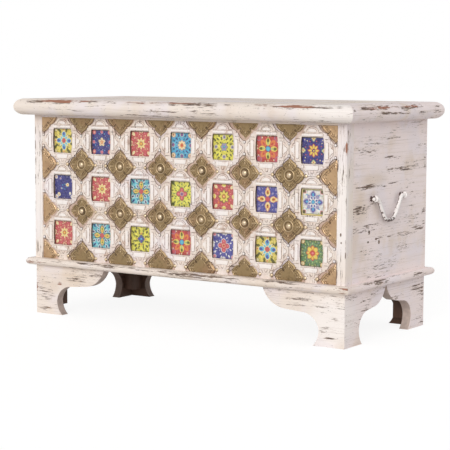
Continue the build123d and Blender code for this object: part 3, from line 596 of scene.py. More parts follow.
# ------------------------------------------------------------------ outlines, in millimetres
def arc(start, through, end, count=8):
    """Points of a circular arc, with its start and without its end."""
    (ax, ay), (bx, by), (cx, cy) = start, through, end
    d = 2 * (ax * (by - cy) + bx * (cy - ay) + cx * (ay - by))
    ux = ((ax**2 + ay**2) * (by - cy) + (bx**2 + by**2) * (cy - ay) + (cx**2 + cy**2) * (ay - by)) / d
    uy = ((ax**2 + ay**2) * (cx - bx) + (bx**2 + by**2) * (ax - cx) + (cx**2 + cy**2) * (bx - ax)) / d
    radius = math.hypot(ax - ux, ay - uy)
    first, middle, last = (math.atan2(y - uy, x - ux) for x, y in (start, through, end))
    sweep = (last - first) % (2 * math.pi)
    if (middle - first) % (2 * math.pi) > sweep:
        sweep -= 2 * math.pi
    return [(ux + radius * math.cos(first + sweep * i / count),
             uy + radius * math.sin(first + sweep * i / count)) for i in range(count)]


def mirrored(quarter):
    """Closed outline from its quarter, which runs from the top to the right."""
    right = quarter + [(x, -y) for x, y in reversed(quarter) if y > 1e-9]
    return right + [(-x, y) for x, y in reversed(right) if x > 1e-9]


def flipped(loop):
    """The same line on the other side of the upright axis."""
    return [(-x, y) for x, y in loop]


def resampled(loop, step, closed=True):
    """The same line with points no further apart than a step."""
    out = []
    pairs = list(zip(loop, loop[1:] + loop[:1])) if closed else list(zip(loop, loop[1:]))
    for (ax, ay), (bx, by) in pairs:
        count = max(1, math.ceil(math.hypot(bx - ax, by - ay) / step))
        out += [(ax + (bx - ax) * i / count, ay + (by - ay) * i / count) for i in range(count)]
    return out if closed else out + [loop[-1]]


def offset(loop, distance, closed=True):
    """Line beside a line: outwards from a clockwise loop, to its left when it is open."""
    points = np.array(loop, float)
    if closed:
        before, after = np.roll(points, 1, 0), np.roll(points, -1, 0)
    else:
        before = np.vstack([points[0] * 2 - points[1], points[:-1]])
        after = np.vstack([points[1:], points[-1] * 2 - points[-2]])
    first, second = points - before, after - points
    first /= np.maximum(np.linalg.norm(first, axis=1, keepdims=True), 1e-9)
    second /= np.maximum(np.linalg.norm(second, axis=1, keepdims=True), 1e-9)
    normals = np.stack([-(first + second)[:, 1], (first + second)[:, 0]], 1)
    normals /= np.maximum(np.linalg.norm(normals, axis=1, keepdims=True), 1e-9)
    turn = np.maximum((np.stack([-first[:, 1], first[:, 0]], 1) * normals).sum(1), 0.45)
    return [tuple(p) for p in points + normals * (distance / turn)[:, None]]


def inside(points, loop):
    """Which points lie in a closed loop."""
    result = np.zeros(len(points), bool)
    for (ax, ay), (bx, by) in zip(loop, loop[1:] + loop[:1]):
        crosses = (ay > points[:, 1]) != (by > points[:, 1])
        with np.errstate(divide="ignore", invalid="ignore"):
            at = ax + (points[:, 1] - ay) * (bx - ax) / (by - ay)
        result ^= crosses & (points[:, 0] < at)
    return result


def soft_box(x, y, half_x, half_y, radius, count=3):
    """Clockwise loop of a box with round corners."""
    loop = []
    for sx, sy, start in ((1, 1, 90), (1, -1, 0), (-1, -1, -90), (-1, 1, -180)):
        for i in range(count + 1):
            angle = math.radians(start - 90 * i / count)
            loop.append((x + sx * (half_x - radius) + radius * math.cos(angle),
                         y + sy * (half_y - radius) + radius * math.sin(angle)))
    return loop


# ------------------------------------------------------------------ carved medallions
NECK_X, NECK_Z = 14.0, 15.5
CELL_GAP = 0.2
CELL_X, CELL_Z = PITCH_X / MM / 2 - CELL_GAP, PITCH_Z / MM / 2 - CELL_GAP
MEDALLION_OUTLINE = mirrored(
    [(0.0, CELL_Z), (NECK_X, CELL_Z)]
    + arc((NECK_X, CELL_Z), (21.5, 43.1), (35.0, 36.6))[1:]
    + [(35.0, 36.6), (35.0, 33.1)]
    + arc((39.5, 32.1), (45.0, 22.0), (CELL_X - 3.0, NECK_Z))
    + [(CELL_X - 3.0, NECK_Z), (CELL_X, NECK_Z), (CELL_X, 0.0)])
WINDOW = 28.5
MEDALLION_WINDOW = mirrored([
    (0.0, WINDOW), (WINDOW - 3.0, WINDOW), (WINDOW - 2.0, WINDOW - 0.6), (WINDOW - 1.2, WINDOW * 0.8),
    (WINDOW - 0.4, WINDOW * 0.5), (WINDOW + 0.1, WINDOW * 0.25), (WINDOW + 0.3, 0.0)])
SIDE_TAB = [(42.6, 10.6), (45.0, 9.6), (47.0, 5.8), (50.6, 4.4), (52.0, 2.2),
            (52.0, -2.2), (50.6, -4.4), (47.0, -5.8), (45.0, -9.6), (42.6, -10.6)]
TOP_ARCH = [(-11.0, 39.2), (-10.4, 42.4), (-7.4, 45.2), (-3.8, 46.8), (0.0, 47.3),
            (3.8, 46.8), (7.4, 45.2), (10.4, 42.4), (11.0, 39.2)]
RAISED = [
    (soft_box(0.0, 33.3, 26.0, 3.0, 0.9), 1.0),
    (TOP_ARCH, 0.9),
    ([(-17.0, -31.2), (17.0, -31.2), (14.4, -41.6), (-14.4, -41.6)], 0.9),
    (soft_box(23.2, -34.6, 3.4, 3.2, 0.8), 0.5),
    (soft_box(-23.2, -34.6, 3.4, 3.2, 0.8), 0.5),
    (soft_box(36.2, 0.0, 3.8, 18.0, 2.4), 1.0),
    (soft_box(-36.2, 0.0, 3.8, 18.0, 2.4), 1.0),
    (SIDE_TAB, 0.8),
    (flipped(reversed(SIDE_TAB)), 0.8),
]
SIDE_SCROLL = [(32.6, 24.4), (41.6, 24.4), (43.4, 22.6), (43.4, 14.6), (47.2, 13.4), (49.8, 8.6)]
LOW_SCROLL = [(-20.6, -40.2), (-18.2, -44.6), (-10.4, -45.4), (-8.6, -51.0)]
TOP_LINE = [(-26.0, 38.4), (-15.0, 38.8), (-14.6, 42.6), (-10.2, 47.6), (-5.0, 50.2), (0.0, 50.9),
            (5.0, 50.2), (10.2, 47.6), (14.6, 42.6), (15.0, 38.8), (26.0, 38.4)]
GROOVES = [
    TOP_LINE,
    SIDE_SCROLL,
    flipped(SIDE_SCROLL),
    [(x, -y) for x, y in SIDE_SCROLL],
    [(-x, -y) for x, y in SIDE_SCROLL],
    LOW_SCROLL,
    flipped(LOW_SCROLL),
    [(-3.2, -45.4), (-2.6, -48.4), (0.0, -49.8), (2.6, -48.4), (3.2, -45.4)],
]
OUTLINE_STEP, WINDOW_STEP, PANEL_STEP, GROOVE_STEP = 3.0, 4.0, 3.5, 2.5
LIP, LIP_DROP = 0.9, 0.9
WINDOW_LIP, WINDOW_DROP = 0.7, 0.5
PANEL_MARGIN, PANEL_SINK = 0.8, 0.25
CROWN_INSET, CROWN = 1.1, 0.1


class Chart:
    """Contour lines with a height, a mix of grime and painted shade, and a rub at each point, joined up by
    triangles.
    """

    def __init__(self):
        self.points, self.numbers, self.edges = [], [], []

    def line(self, loop, height, grime_and_shade=0.0, rub=0.0, closed=True):
        """Add a line. height is one number or one for each point."""
        start, count = len(self.points), len(loop)
        heights = height if hasattr(height, "__len__") else [height] * count
        self.points += loop
        self.numbers += [(h, grime_and_shade, rub) for h in heights]
        self.edges += [(start + i, start + i + 1) for i in range(count - 1)]
        if closed:
            self.edges.append((start + count - 1, start))

    def surface(self, outline, hole):
        """Points with heights, their numbers and the triangles between the outline and the hole."""
        points, _, faces, origins, _, _ = delaunay_2d_cdt([Vector(p) for p in self.points], self.edges, [], 0,
                                                          1e-4)
        flat = np.array([tuple(p) for p in points])
        given = np.array(self.points)
        numbers = np.zeros((len(flat), 3))
        for index, origin in enumerate(origins):
            if origin:
                numbers[index] = self.numbers[origin[0]]
            else:
                near = np.argsort(((given - flat[index]) ** 2).sum(1))[:2]
                numbers[index] = np.mean([self.numbers[i] for i in near], axis=0)
        centres = np.array([flat[list(f)].mean(0) for f in faces])
        keep = inside(centres, outline) & ~inside(centres, hole)
        return flat, numbers, [f for f, k in zip(faces, keep) if k]


def walled(flat, numbers, faces, back):
    """Close a surface with walls down to a flat back. Lengths come in millimetres and leave in metres."""
    front = [(x * MM, FACE_Y - h * MM, z * MM) for (x, z), (h, _, _) in zip(flat, numbers)]
    rear = [(x * MM, FACE_Y - back * MM, z * MM) for x, z in flat]
    count = len(front)
    sides = {edge for a, b, c in faces for edge in ((a, b), (b, c), (c, a))}
    walls = [(a, b, b + count, a + count) for a, b in sorted(sides) if (b, a) not in sides]
    lids = [(c + count, b + count, a + count) for a, b, c in faces]
    # The back points carry full grime and shade, so the walls darken towards the panel: dirt, and painted
    # shade where the carving meets it.
    return front + rear, list(faces) + walls + lids, [tuple(n) for n in numbers] + [(back, 1.5, 0.0)] * count


def carved_medallion(carving):
    """One medallion about the origin of the row, standing where the front's face is."""
    ground, proud = -carving.ground / MM, carving.proud / MM
    bevel, half, deep = carving.bevel / MM, carving.groove_width / MM / 2, carving.groove_depth / MM
    chart = Chart()
    outline = resampled(MEDALLION_OUTLINE, OUTLINE_STEP)
    at_joint = [abs(x) > CELL_X - 0.1 or abs(z) > CELL_Z - 0.1 for x, z in outline]
    # The outline, the window, the feet of the raised carving and the bottoms of the grooves carry grime and
    # shade: dirt, and painted shade where the hollows and joints would be in shade.
    chart.line(outline, [ground if joint else ground - LIP_DROP for joint in at_joint], grime_and_shade=0.7)
    lip = [(x, z) for (x, z), joint in zip(offset(outline, -LIP), at_joint) if not joint]
    chart.line(lip, ground, rub=0.7, closed=False)
    window = resampled(MEDALLION_WINDOW, WINDOW_STEP)
    chart.line(window, ground - WINDOW_DROP, grime_and_shade=0.8)
    chart.line(offset(window, WINDOW_LIP), ground, rub=0.5)
    for loop, share in RAISED:
        top = ground + (proud - ground) * share
        loop = resampled(loop, PANEL_STEP)
        chart.line(offset(loop, PANEL_MARGIN), ground, grime_and_shade=0.1)
        chart.line(loop, ground - PANEL_SINK, grime_and_shade=1.0)
        chart.line(offset(loop, -bevel), top, rub=1.0)
        chart.line(offset(loop, -bevel - CROWN_INSET), top + CROWN)
    for path in GROOVES:
        path = resampled(path, GROOVE_STEP, closed=False)
        left, right = offset(path, half, closed=False), offset(path, -half, closed=False)
        chart.line(left + right[::-1], ground, grime_and_shade=0.25)
        chart.line(offset(path, 0.0, closed=False), ground - deep, grime_and_shade=1.0, closed=False)
    flat, numbers, faces = chart.surface(outline, window)
    points, faces, extra = walled(flat, numbers, faces, -(PANEL_Y - FACE_Y) / MM)
    made = mesh_object("medallion", points, faces,
                       {"grime_and_shade": [n[1] for n in extra], "rub": [n[2] for n in extra],
                        "lift": [min(1.0, max(0.0, (n[0] - ground) / (proud - ground))) for n in extra]})
    tidy_mesh(made.data)
    smooth(made.data, CARVING_CREASE)
    return made


def plate_distance(finish):
    """Millimetres from the middle of the nearest plate, along X plus along Z."""
    beside = finish.axis(0).maths("PINGPONG", finish.axis(0), PITCH_X / MM / 2)
    height = finish.axis(2) - ROW_Z[0] / MM
    return (PITCH_X + PITCH_Z) / MM / 2 - (beside + height.maths("PINGPONG", height, PITCH_Z / MM / 2))


def necks(row, z):
    """Necks that run on to the posts, and below the last row to the base."""
    side = COLUMN_X[-1] + PITCH_X / 2 - CELL_GAP * MM
    width = (FIELD_X - side) / 2
    found = [(sign * (side + width), width, z - NECK_Z * MM, z + NECK_Z * MM) for sign in (-1, 1)]
    if row == ROWS[-1]:
        found += [(x, NECK_X * MM, FIELD_LOW, z - CELL_Z * MM) for x in COLUMN_X]
    return found


def add_necks(made, blocks, height):
    """Add plain blocks to a row of carving."""
    work = bmesh.new()
    work.from_mesh(made.data)
    for x, half_x, low, high in blocks:
        block = bmesh.ops.create_cube(work, size=1.0)["verts"]
        front, back = FACE_Y - height, PANEL_Y
        size = Matrix.Diagonal((2 * half_x, back - front, high - low, 1.0))
        bmesh.ops.transform(work, matrix=Matrix.Translation((x, (front + back) / 2, (low + high) / 2)) @ size,
                            verts=block)
    work.to_mesh(made.data)
    work.free()


class CHEST_OT_carve_medallions(bpy.types.Operator):
    """Carve the three rows of medallions"""

    bl_idname = "chest.carve_medallions"
    bl_label = "Carve medallions"

    def execute(self, context):
        carving, paint = context.scene.chest_carving, context.scene.chest_paint
        finish = Finish("carved_paint")
        colour, rough, relief = worn_paint(finish, paint.front_paint, 2, 3.0, amount=0.012)
        grime_and_shade, rub, lift = (finish.attribute(name) for name in ("grime_and_shade", "rub", "lift"))
        mottle = finish.noise((11.0, 11.0, 13.0), 3.0, 0.6, 67.0)
        dirt = finish.noise(6.0, 3.0, 0.6, 51.0)
        # Painted shade and highlight: the low carving leans to greyish pink, partly dust and partly painted
        # shade, and the raised carving to the cleanest whitewash, partly cleaner paint and partly a painted
        # highlight.
        colour = finish.mix(colour, paint.dust_and_shade_paint, (1 - lift) * mottle.rise(0.42, 0.68) * 0.6)
        colour = finish.mix(colour, paint.clean_and_highlight_paint, lift * 0.75)
        smear = finish.noise((26.0, 26.0, 30.0), 4.0, 0.65, 71.0)
        halo = 1 - plate_distance(finish).rise(38.0, 52.0)
        # The grime and shade lines turn to pale and dark wood colour: dirt, and painted shade in the hollows
        # and joints.
        for tint, share in (
                (paint.ground_wood, (smear + grime_and_shade * 0.1 + halo * 0.07).rise(0.57, 0.72) * 0.8),
                (paint.pale_wood, (grime_and_shade * (dirt * 0.9 + 0.2)).rise(0.3, 0.62) * 0.9),
                (paint.worn_wood, (grime_and_shade * (dirt * 0.7 + smear * 0.4)).rise(0.4, 0.56) * 0.95),
                (paint.red_wood, (rub * finish.noise(14.0, 3.0, 0.6, 57.0)).rise(0.55, 0.66) * 0.6)):
            colour = finish.mix(colour, tint, share)
        material = finish.shade(colour, rough, relief + finish.noise(2.5, 2.0, 0.5, 61.0) * 0.3, 0.3)
        for index, (row, z) in enumerate(zip(ROWS, ROW_Z)):
            made = repeat(f"carved_{row}_row", carved_medallion(carving), [(x, 0.0, z) for x in COLUMN_X],
                          material, wobble=carving.wobble, wobble_size=0.012, seed=index)
            add_necks(made, necks(row, z), -carving.ground)
            smooth(made.data, CARVING_CREASE)
            settle(made, "chest", "carved_painted_wood", f"{row}_row_medallions")
        return {"FINISHED"}


# ------------------------------------------------------------------ painted tiles
# A pattern has its ground colour, the colours of its flecks and its marks, each repeated round
# the middle of the tile, which is 2 wide:
#   leaf or oval: count, turn, distance, length, width, colour and colour of the rim, if any
#   dot: radius and colours of an oval in the middle      frame: half its inner side and its colour
#   blossom: count, turn, distance, size, petals, heart and rim of a blob with a heart
#   scroll: count, turns, distance, size, colour and ground of curled leaves
PATTERNS = {
    "yellow_cross": ("yellow", ("cream", "olive"), """
        leaf 8 31 1.02 .23 .13 olive; leaf 8 27 .8 .16 .11 olive; oval 8 38 .66 .07 .06 olive;
        oval 4 45 1.16 .12 .12 cream olive; oval 4 45 .54 .09 .07 cream olive;
        oval 4 45 .31 .13 .08 turquoise white; oval 4 0 .48 .24 .19 sky cream;
        leaf 4 0 .55 .17 .11 violet; oval 4 0 .85 .07 .08 orange cream; dot .17 rose red"""),
    "cobalt_blossom": ("cobalt", ("violet", "lavender"), """
        blossom 4 0 .78 .12 pink red lavender; blossom 4 45 1.06 .14 pink cream orange;
        oval 8 22 .68 .05 .04 sky; oval 8 8 .58 .04 .04 lavender; oval 5 90 .2 .15 .12 cream ink;
        oval 5 90 .2 .06 .04 pink; dot .1 orange red; dot .05 cream"""),
    "rose_rosette": ("rose", ("red", "cream"), """
        oval 4 0 .92 .13 .2 cream red; leaf 4 0 .9 .08 .12 rose; leaf 4 45 1.02 .2 .13 cream red;
        leaf 8 24 .9 .11 .06 pink red; oval 8 12 .72 .05 .04 cream; leaf 8 30 .66 .08 .05 red;
        oval 8 0 .54 .05 .05 red cream; leaf 8 0 .27 .2 .1 cream red; leaf 8 0 .25 .11 .05 yellow;
        dot .14 orange olive; dot .06 yellow"""),
    "sky_rosette": ("sky", ("turquoise", "ink"), """
        scroll 4 24 66 .8 .12 ink sky; blossom 4 0 .8 .14 violet rose cream;
        blossom 4 45 1.08 .17 cream rose red; leaf 4 45 .66 .16 .07 cobalt; leaf 8 22 .5 .1 .05 ink;
        oval 8 0 .25 .11 .09 cream rose; dot .17 orange cream; dot .08 red"""),
    "lime_lavender": ("lime", ("yellow", "olive"), """
        scroll 4 30 60 .98 .15 olive lime; scroll 4 22 68 .66 .13 olive lime;
        leaf 4 45 .82 .14 .08 olive; leaf 4 45 .42 .1 .06 olive; oval 4 0 .98 .06 .12 olive;
        blossom 4 0 .72 .14 lavender olive cream; oval 6 0 .17 .13 .1 lavender olive; dot .08 sky olive"""),
    "red_petals": ("red", ("rose", "orange"), """
        oval 4 45 1.08 .17 .2 rose lavender; oval 8 32 .94 .06 .05 cream;
        leaf 4 45 .58 .3 .2 orange rose; leaf 4 45 .5 .15 .08 red; oval 4 0 .5 .28 .2 yellow red;
        leaf 4 0 .58 .18 .11 olive; leaf 4 0 .38 .12 .08 leaf; oval 4 0 .88 .06 .07 cream red;
        dot .19 sky ink; dot .08 turquoise"""),
    "cobalt_daisy": ("cobalt", ("ink", "violet"), """
        blossom 4 45 1.04 .13 violet cream; oval 8 26 .7 .05 .05 rose; oval 8 38 .86 .05 .04 cream;
        leaf 4 45 .62 .11 .06 violet; leaf 4 0 .86 .18 .1 cream leaf; leaf 4 0 .86 .09 .19 cream;
        oval 4 0 .83 .06 .06 orange; leaf 8 0 .27 .18 .08 yellow red; dot .13 ink orange;
        dot .06 yellow"""),
    "scattered_daisies": ("cobalt", ("violet", "ink"), """
        blossom 1 28 .36 .16 cream orange ink; blossom 1 205 .3 .09 lavender yellow;
        blossom 1 230 .8 .15 cream red ink; blossom 1 120 .74 .1 lavender orange;
        blossom 1 320 .78 .11 white yellow; blossom 4 47 1.1 .15 white orange lavender;
        oval 7 10 .58 .05 .04 violet; oval 9 30 .84 .05 .04 lavender; leaf 6 50 .4 .08 .04 violet;
        oval 5 70 .2 .05 .04 sky"""),
    "turquoise_cross": ("turquoise", ("sky", "white"), """
        leaf 8 28 .9 .16 .07 ink white; leaf 4 45 1.06 .2 .08 cobalt; leaf 8 18 .7 .1 .05 ink;
        oval 8 34 .66 .05 .04 cobalt; leaf 4 45 .5 .14 .07 ink white; oval 4 45 .3 .06 .05 ink;
        leaf 4 0 .48 .32 .17 yellow olive; oval 4 0 .36 .08 .07 orange; oval 4 0 .52 .07 .06 olive;
        oval 4 0 .68 .06 .05 red cream; oval 4 0 .92 .05 .08 ink; dot .18 rose red"""),
    "yellow_lobes": ("lime", ("cream", "green"), """
        oval 4 45 1.12 .12 .12 olive green; leaf 12 15 .9 .12 .06 olive; leaf 12 0 .72 .09 .05 green;
        leaf 8 22 .58 .08 .05 olive; oval 4 0 .94 .06 .1 green; oval 4 0 .27 .23 .2 rose green;
        dot .23 rose; oval 4 0 .3 .1 .07 pink red; dot .14 violet cream; dot .06 rose"""),
    "red_sunburst": ("rose", ("red", "cream"), """
        blossom 4 0 .84 .16 cream orange red; leaf 4 0 .84 .1 .2 yellow; leaf 4 45 1 .2 .13 cream red;
        oval 4 45 .66 .08 .08 orange red; leaf 8 22 .62 .09 .05 pink red;
        leaf 8 0 .27 .2 .11 yellow olive; dot .15 orange olive; dot .06 cream"""),
    "violet_petals": ("violet", ("cobalt", "lavender"), """
        oval 4 45 1.04 .15 .1 lavender violet; oval 8 30 .86 .06 .05 lavender;
        leaf 4 45 .6 .12 .07 lavender; oval 4 0 .47 .25 .2 cream orange;
        leaf 4 0 .74 .14 .09 cream orange; oval 4 0 .5 .15 .12 orange yellow;
        oval 4 0 .45 .07 .06 olive; oval 4 0 .57 .06 .05 red; dot .16 rose red"""),
    "white_medallion": ("white", ("cream", "lavender"), """
        leaf 4 45 1.06 .18 .13 olive pink; leaf 8 30 .94 .09 .05 leaf; oval 4 45 .7 .07 .05 sky;
        oval 4 45 .5 .13 .1 lavender violet; leaf 4 0 .52 .26 .18 violet lavender;
        oval 4 0 .5 .13 .08 sky; leaf 8 22 .3 .12 .07 violet white; dot .13 sky ink; frame .8 olive;
        frame .83 cream; frame .88 yellow"""),
    "olive_scrolls": ("lime", ("yellow", "olive"), """
        scroll 4 30 60 .96 .17 olive lime; scroll 4 18 72 .7 .15 olive lime; leaf 4 45 .76 .14 .1 olive;
        oval 4 0 .94 .08 .12 olive; leaf 8 22 .46 .12 .07 olive; oval 4 0 .42 .07 .06 orange;
        oval 4 45 .26 .07 .06 green; oval 4 0 .17 .14 .12 violet olive; dot .09 sky"""),
    "violet_blossom": ("violet", ("cobalt", "lavender"), """
        oval 4 45 1.14 .12 .12 pink white; leaf 8 32 .9 .15 .07 white;
        oval 4 0 .9 .08 .13 white lavender; leaf 8 20 .66 .1 .05 white; oval 4 45 .5 .08 .06 lavender;
        oval 4 0 .28 .22 .2 rose white; dot .24 rose; leaf 4 0 .34 .11 .07 pink red; dot .11 red cream"""),
    "green_blossom": ("green", ("leaf", "lavender"), """
        oval 4 45 1.12 .13 .13 cream orange; leaf 12 15 .86 .1 .05 leaf olive;
        leaf 12 0 .68 .08 .04 leaf; oval 4 0 .92 .08 .1 leaf olive; oval 4 0 .32 .19 .14 orange red;
        oval 4 45 .32 .19 .14 yellow orange; oval 4 0 .36 .11 .07 yellow; dot .2 red orange;
        dot .09 pink"""),
}
TILES = {
    "top": ("yellow_cross", "cobalt_blossom", "rose_rosette", "sky_rosette", "lime_lavender", "red_petals",
            "cobalt_daisy"),
    "middle": ("scattered_daisies", "rose_rosette", "turquoise_cross", "yellow_lobes", "red_sunburst",
               "violet_petals", "white_medallion"),
    "bottom": ("rose_rosette", "turquoise_cross", "olive_scrolls", "red_petals", "violet_blossom",
               "yellow_cross", "green_blossom"),
}
HEART = 0.38
TILE_STOPS = (-1.0, -0.975, -0.93, -0.86, -0.6, -0.2, 0.2, 0.6, 0.86, 0.93, 0.975, 1.0)
TILE_FALL = {1.0: 1.0, 0.975: 0.55, 0.93: 0.22, 0.86: 0.06}
TILE_EDGE_DROP = 0.9


def part(shape, count, turn, middle, length, width, ink, rim=None):
    """One mark of a pattern."""
    return shape, count, turn, middle, length, width, ink, rim


def marks_of(text):
    """The marks that a pattern's words stand for."""
    marks = []
    for phrase in text.split(";"):
        kind, *words = phrase.split()
        sizes = [float(word) for word in words if not word.isalpha()]
        inks = [word for word in words if word.isalpha()]
        if kind in ("dot", "frame"):
            marks.append(part("oval" if kind == "dot" else kind, 1, 0, 0.0, *sizes * 2, *inks))
        elif kind == "blossom":
            *place, size = sizes
            petals, heart, *rim = inks
            marks += [part("oval", *place, size, size, petals, *rim),
                      part("oval", *place, size * HEART, size * HEART, heart)]
        elif kind == "scroll":
            count, *turns, middle, size = sizes
            ink, ground = inks
            for turn in turns:
                marks += [part("oval", count, turn, middle, size, size * 0.62, ink),
                          part("oval", count, turn + 3, middle + size * 0.2, size * 0.4, size * 0.24, ground)]
        else:
            marks.append(part(kind, *sizes, *inks))
    return marks


def glazed(name, ground, flecks, marks, glaze, seed):
    """A hand-painted tile: marks laid over a ground colour, under a clear glaze."""
    finish = Finish("tile_" + name)
    flat = finish.node("ShaderNodeUVMap", {"uv_map": "tile"})
    shake = finish.node("ShaderNodeTexNoise", None, {"Vector": finish.place, "Scale": 0.2, "Detail": 3.0},
                        "Color")
    strayed = finish.vector("MULTIPLY_ADD", flat, (2.0, 2.0, 0.0), (-1.0, -1.0, 0.0))
    strayed = finish.vector("MULTIPLY_ADD", finish.vector("SUBTRACT", shake, (0.5, 0.5, 0.5)),
                            (0.09, 0.09, 0.0), strayed)
    x = finish.node("ShaderNodeSeparateXYZ", None, {0: strayed})
    y = x.beside("Y")
    radius = (x * x + y * y) ** 0.5
    angle = x.maths("ARCTAN2", y, x)
    wash = finish.noise(9.0, 3.0, 0.6, seed)
    base = getattr(glaze, ground)
    colour = finish.mix(tuple(c * 0.72 for c in base), tuple(min(1.0, c * 1.12 + 0.02) for c in base),
                        wash.rise(0.3, 0.7))
    for index, fleck in enumerate(flecks):
        dab = finish.noise(3.4, 2.0, 0.6, seed + 5.0 + 7.0 * index).rise(0.56, 0.64)
        colour = finish.mix(colour, getattr(glaze, fleck), dab * (0.5 - 0.15 * index))

    def folded(count, turn):
        """Angle from the nearest of the repeated directions."""
        step = 2 * math.pi / count
        turned = (angle - math.radians(turn)) / step + 0.5
        return (turned - turned.maths("FLOOR", turned) - 0.5) * step

    paint_height = None
    for shape, count, turn, middle, length, width, ink, rim in marks:
        if shape == "frame":
            here = abs(x).most(abs(y)).rise(length, length + 0.04)
        else:
            away = finish.once(("fold", count, turn), lambda: folded(count, turn))
            along = finish.once(("along", count, turn), lambda: radius * away.maths("COSINE", away))
            across = finish.once(("across", count, turn), lambda: radius * away.maths("SINE", away))
            reach = ((along - middle) / length) ** 2.0
            size = reach + (across / width) ** 2.0 if shape == "oval" else abs(across) / width + reach
            here = 1 - size.rise(0.8, 1.12)
            if rim:
                border = 1 - size.rise(1.12, 1.12 + 0.1 / min(length, width))
                colour = finish.mix(colour, getattr(glaze, rim), border * 0.85)
        colour = finish.mix(colour, getattr(glaze, ink), here * 0.94)
        paint_height = paint_height.most(here) if paint_height else here * 0.5
    crazing = finish.node("ShaderNodeTexVoronoi", {"feature": "DISTANCE_TO_EDGE"},
                          {"Vector": finish.place, "Scale": 0.22}, "Distance")
    colour = finish.mix(colour, tuple(c * 0.6 for c in base), (1 - crazing.rise(0.0, 0.03)) * 0.25)
    rim_dirt = abs(x).most(abs(y)).rise(0.8, 1.0) * finish.noise(5.0, 2.0, 0.6, seed + 19.0).rise(0.4, 0.6)
    chalk = finish.noise(2.6, 2.0, 0.6, seed + 29.0).rise(0.5, 0.7)
    colour = finish.mix(colour, glaze.grout, (chalk * 0.17 + 0.03).most(rim_dirt * 0.55))
    # Painted shadow: a dark line along the top and, more faintly, the left of the tile, where the lip of its
    # pocket would shade it.
    painted_shadow = y.rise(0.86, 0.93).most((x * -1.0).rise(0.9, 0.96) * 0.5)
    colour = finish.mix(colour, glaze.olive, painted_shadow * 0.7)
    return finish.shade(colour, wash * 0.14 + 0.22, paint_height * 0.5 + wash * 0.4, 0.25,
                        **{"Coat Weight": 0.35, "Coat Roughness": 0.12})


def tile_body(half, front, back):
    """One tile with a softly rounded face, about the origin of its row."""
    points, corners = [], []
    for z in TILE_STOPS:
        for x in TILE_STOPS:
            fall = max(TILE_FALL.get(abs(x), 0.0), TILE_FALL.get(abs(z), 0.0))
            points.append((x * half, front + fall * TILE_EDGE_DROP * MM, z * half))
            corners.append(((x + 1) / 2, (z + 1) / 2))
    points += [(x, back, z) for x, _, z in points]
    count, face = len(TILE_STOPS), len(corners)
    faces = [(a, a + 1, a + count + 1, a + count) for row in range(count - 1)
             for a in range(row * count, row * count + count - 1)]
    rim = (list(range(count)) + [i * count + count - 1 for i in range(1, count)]
           + [face - 2 - i for i in range(count - 1)] + [i * count for i in range(count - 2, 0, -1)])
    faces += [(b, a, a + face, b + face) for a, b in zip(rim, rim[1:] + rim[:1])]
    faces.append(tuple(face + i for i in rim))
    made = mesh_object("tile", points, faces)
    layer = made.data.uv_layers.new(name="tile")
    for loop in made.data.loops:
        layer.data[loop.index].uv = corners[loop.vertex_index % face]
    tidy_mesh(made.data)
    smooth(made.data, ROUND_CREASE)
    return made


class CHEST_OT_lay_tiles(bpy.types.Operator):
    """Lay the painted tiles in their pockets"""

    bl_idname = "chest.lay_tiles"
    bl_label = "Lay tiles"

    def execute(self, context):
        glaze = context.scene.chest_glaze
        finishes = {name: glazed(name, ground, flecks, marks_of(words), glaze, 3.0 * index)
                    for index, (name, (ground, flecks, words)) in enumerate(PATTERNS.items())}
        for index, (row, z) in enumerate(zip(ROWS, ROW_Z)):
            low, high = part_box(f"{row}_row_tiles")
            body = tile_body(TILE_SIZE / 2, low.y, high.y)
            faces = len(body.data.polygons)
            made = repeat(f"painted_{row}_row", body, [(x, 0.0, z) for x in COLUMN_X],
                          finishes[TILES[row][0]], turn=0.006, seed=20 + index)
            made.data.materials.clear()
            for name in TILES[row]:
                made.data.materials.append(finishes[name])
            for polygon in made.data.polygons:
                polygon.material_index = polygon.index // faces
            settle(made, "chest", "glazed_tile", f"{row}_row_tiles")
        return {"FINISHED"}


# ------------------------------------------------------------------ pressed brass
PLATE_QUARTER = [(0.0, 38.4), (1.5, 36.0), (4.0, 33.6), (7.8, 31.0), (11.8, 28.0), (15.4, 24.8),
                 (17.6, 21.8), (18.2, 19.4), (19.0, 18.0), (21.6, 17.2), (25.0, 15.8), (27.8, 13.4),
                 (30.2, 11.6), (33.0, 9.0), (35.4, 5.0), (38.2, 0.0)]
NOTCH = math.atan2(18.8, 18.6)
SHEET = 1.2
SPOKES = 176
SCALLOPS = 36
HUB = 14.6
RINGED_HUB = (2.0, 5.0, 7.4, 8.6, 9.6, 10.6, 11.5, 12.4, 13.4, HUB)
PLAIN_HUB = (3.0, 7.0, 11.0, HUB)
LOBE_SHARES = (0.1, 0.22, 0.34, 0.46, 0.56, 0.65, 0.73, 0.79, 0.85, 0.91)
SCALLOP_SHARES = (0.96, 1.0)
PLATE_LIFT = 0.02
TACK_SIDE, TACK_ABOVE = 42.0, 41.6
DOME_HEIGHT, TACK_HEIGHT, RING_TACK_HEIGHT = 4.5, 2.6, 2.2
DOME_SINK, TACK_SINK, RING_TACK_SINK = 0.1, 0.7, 0.5


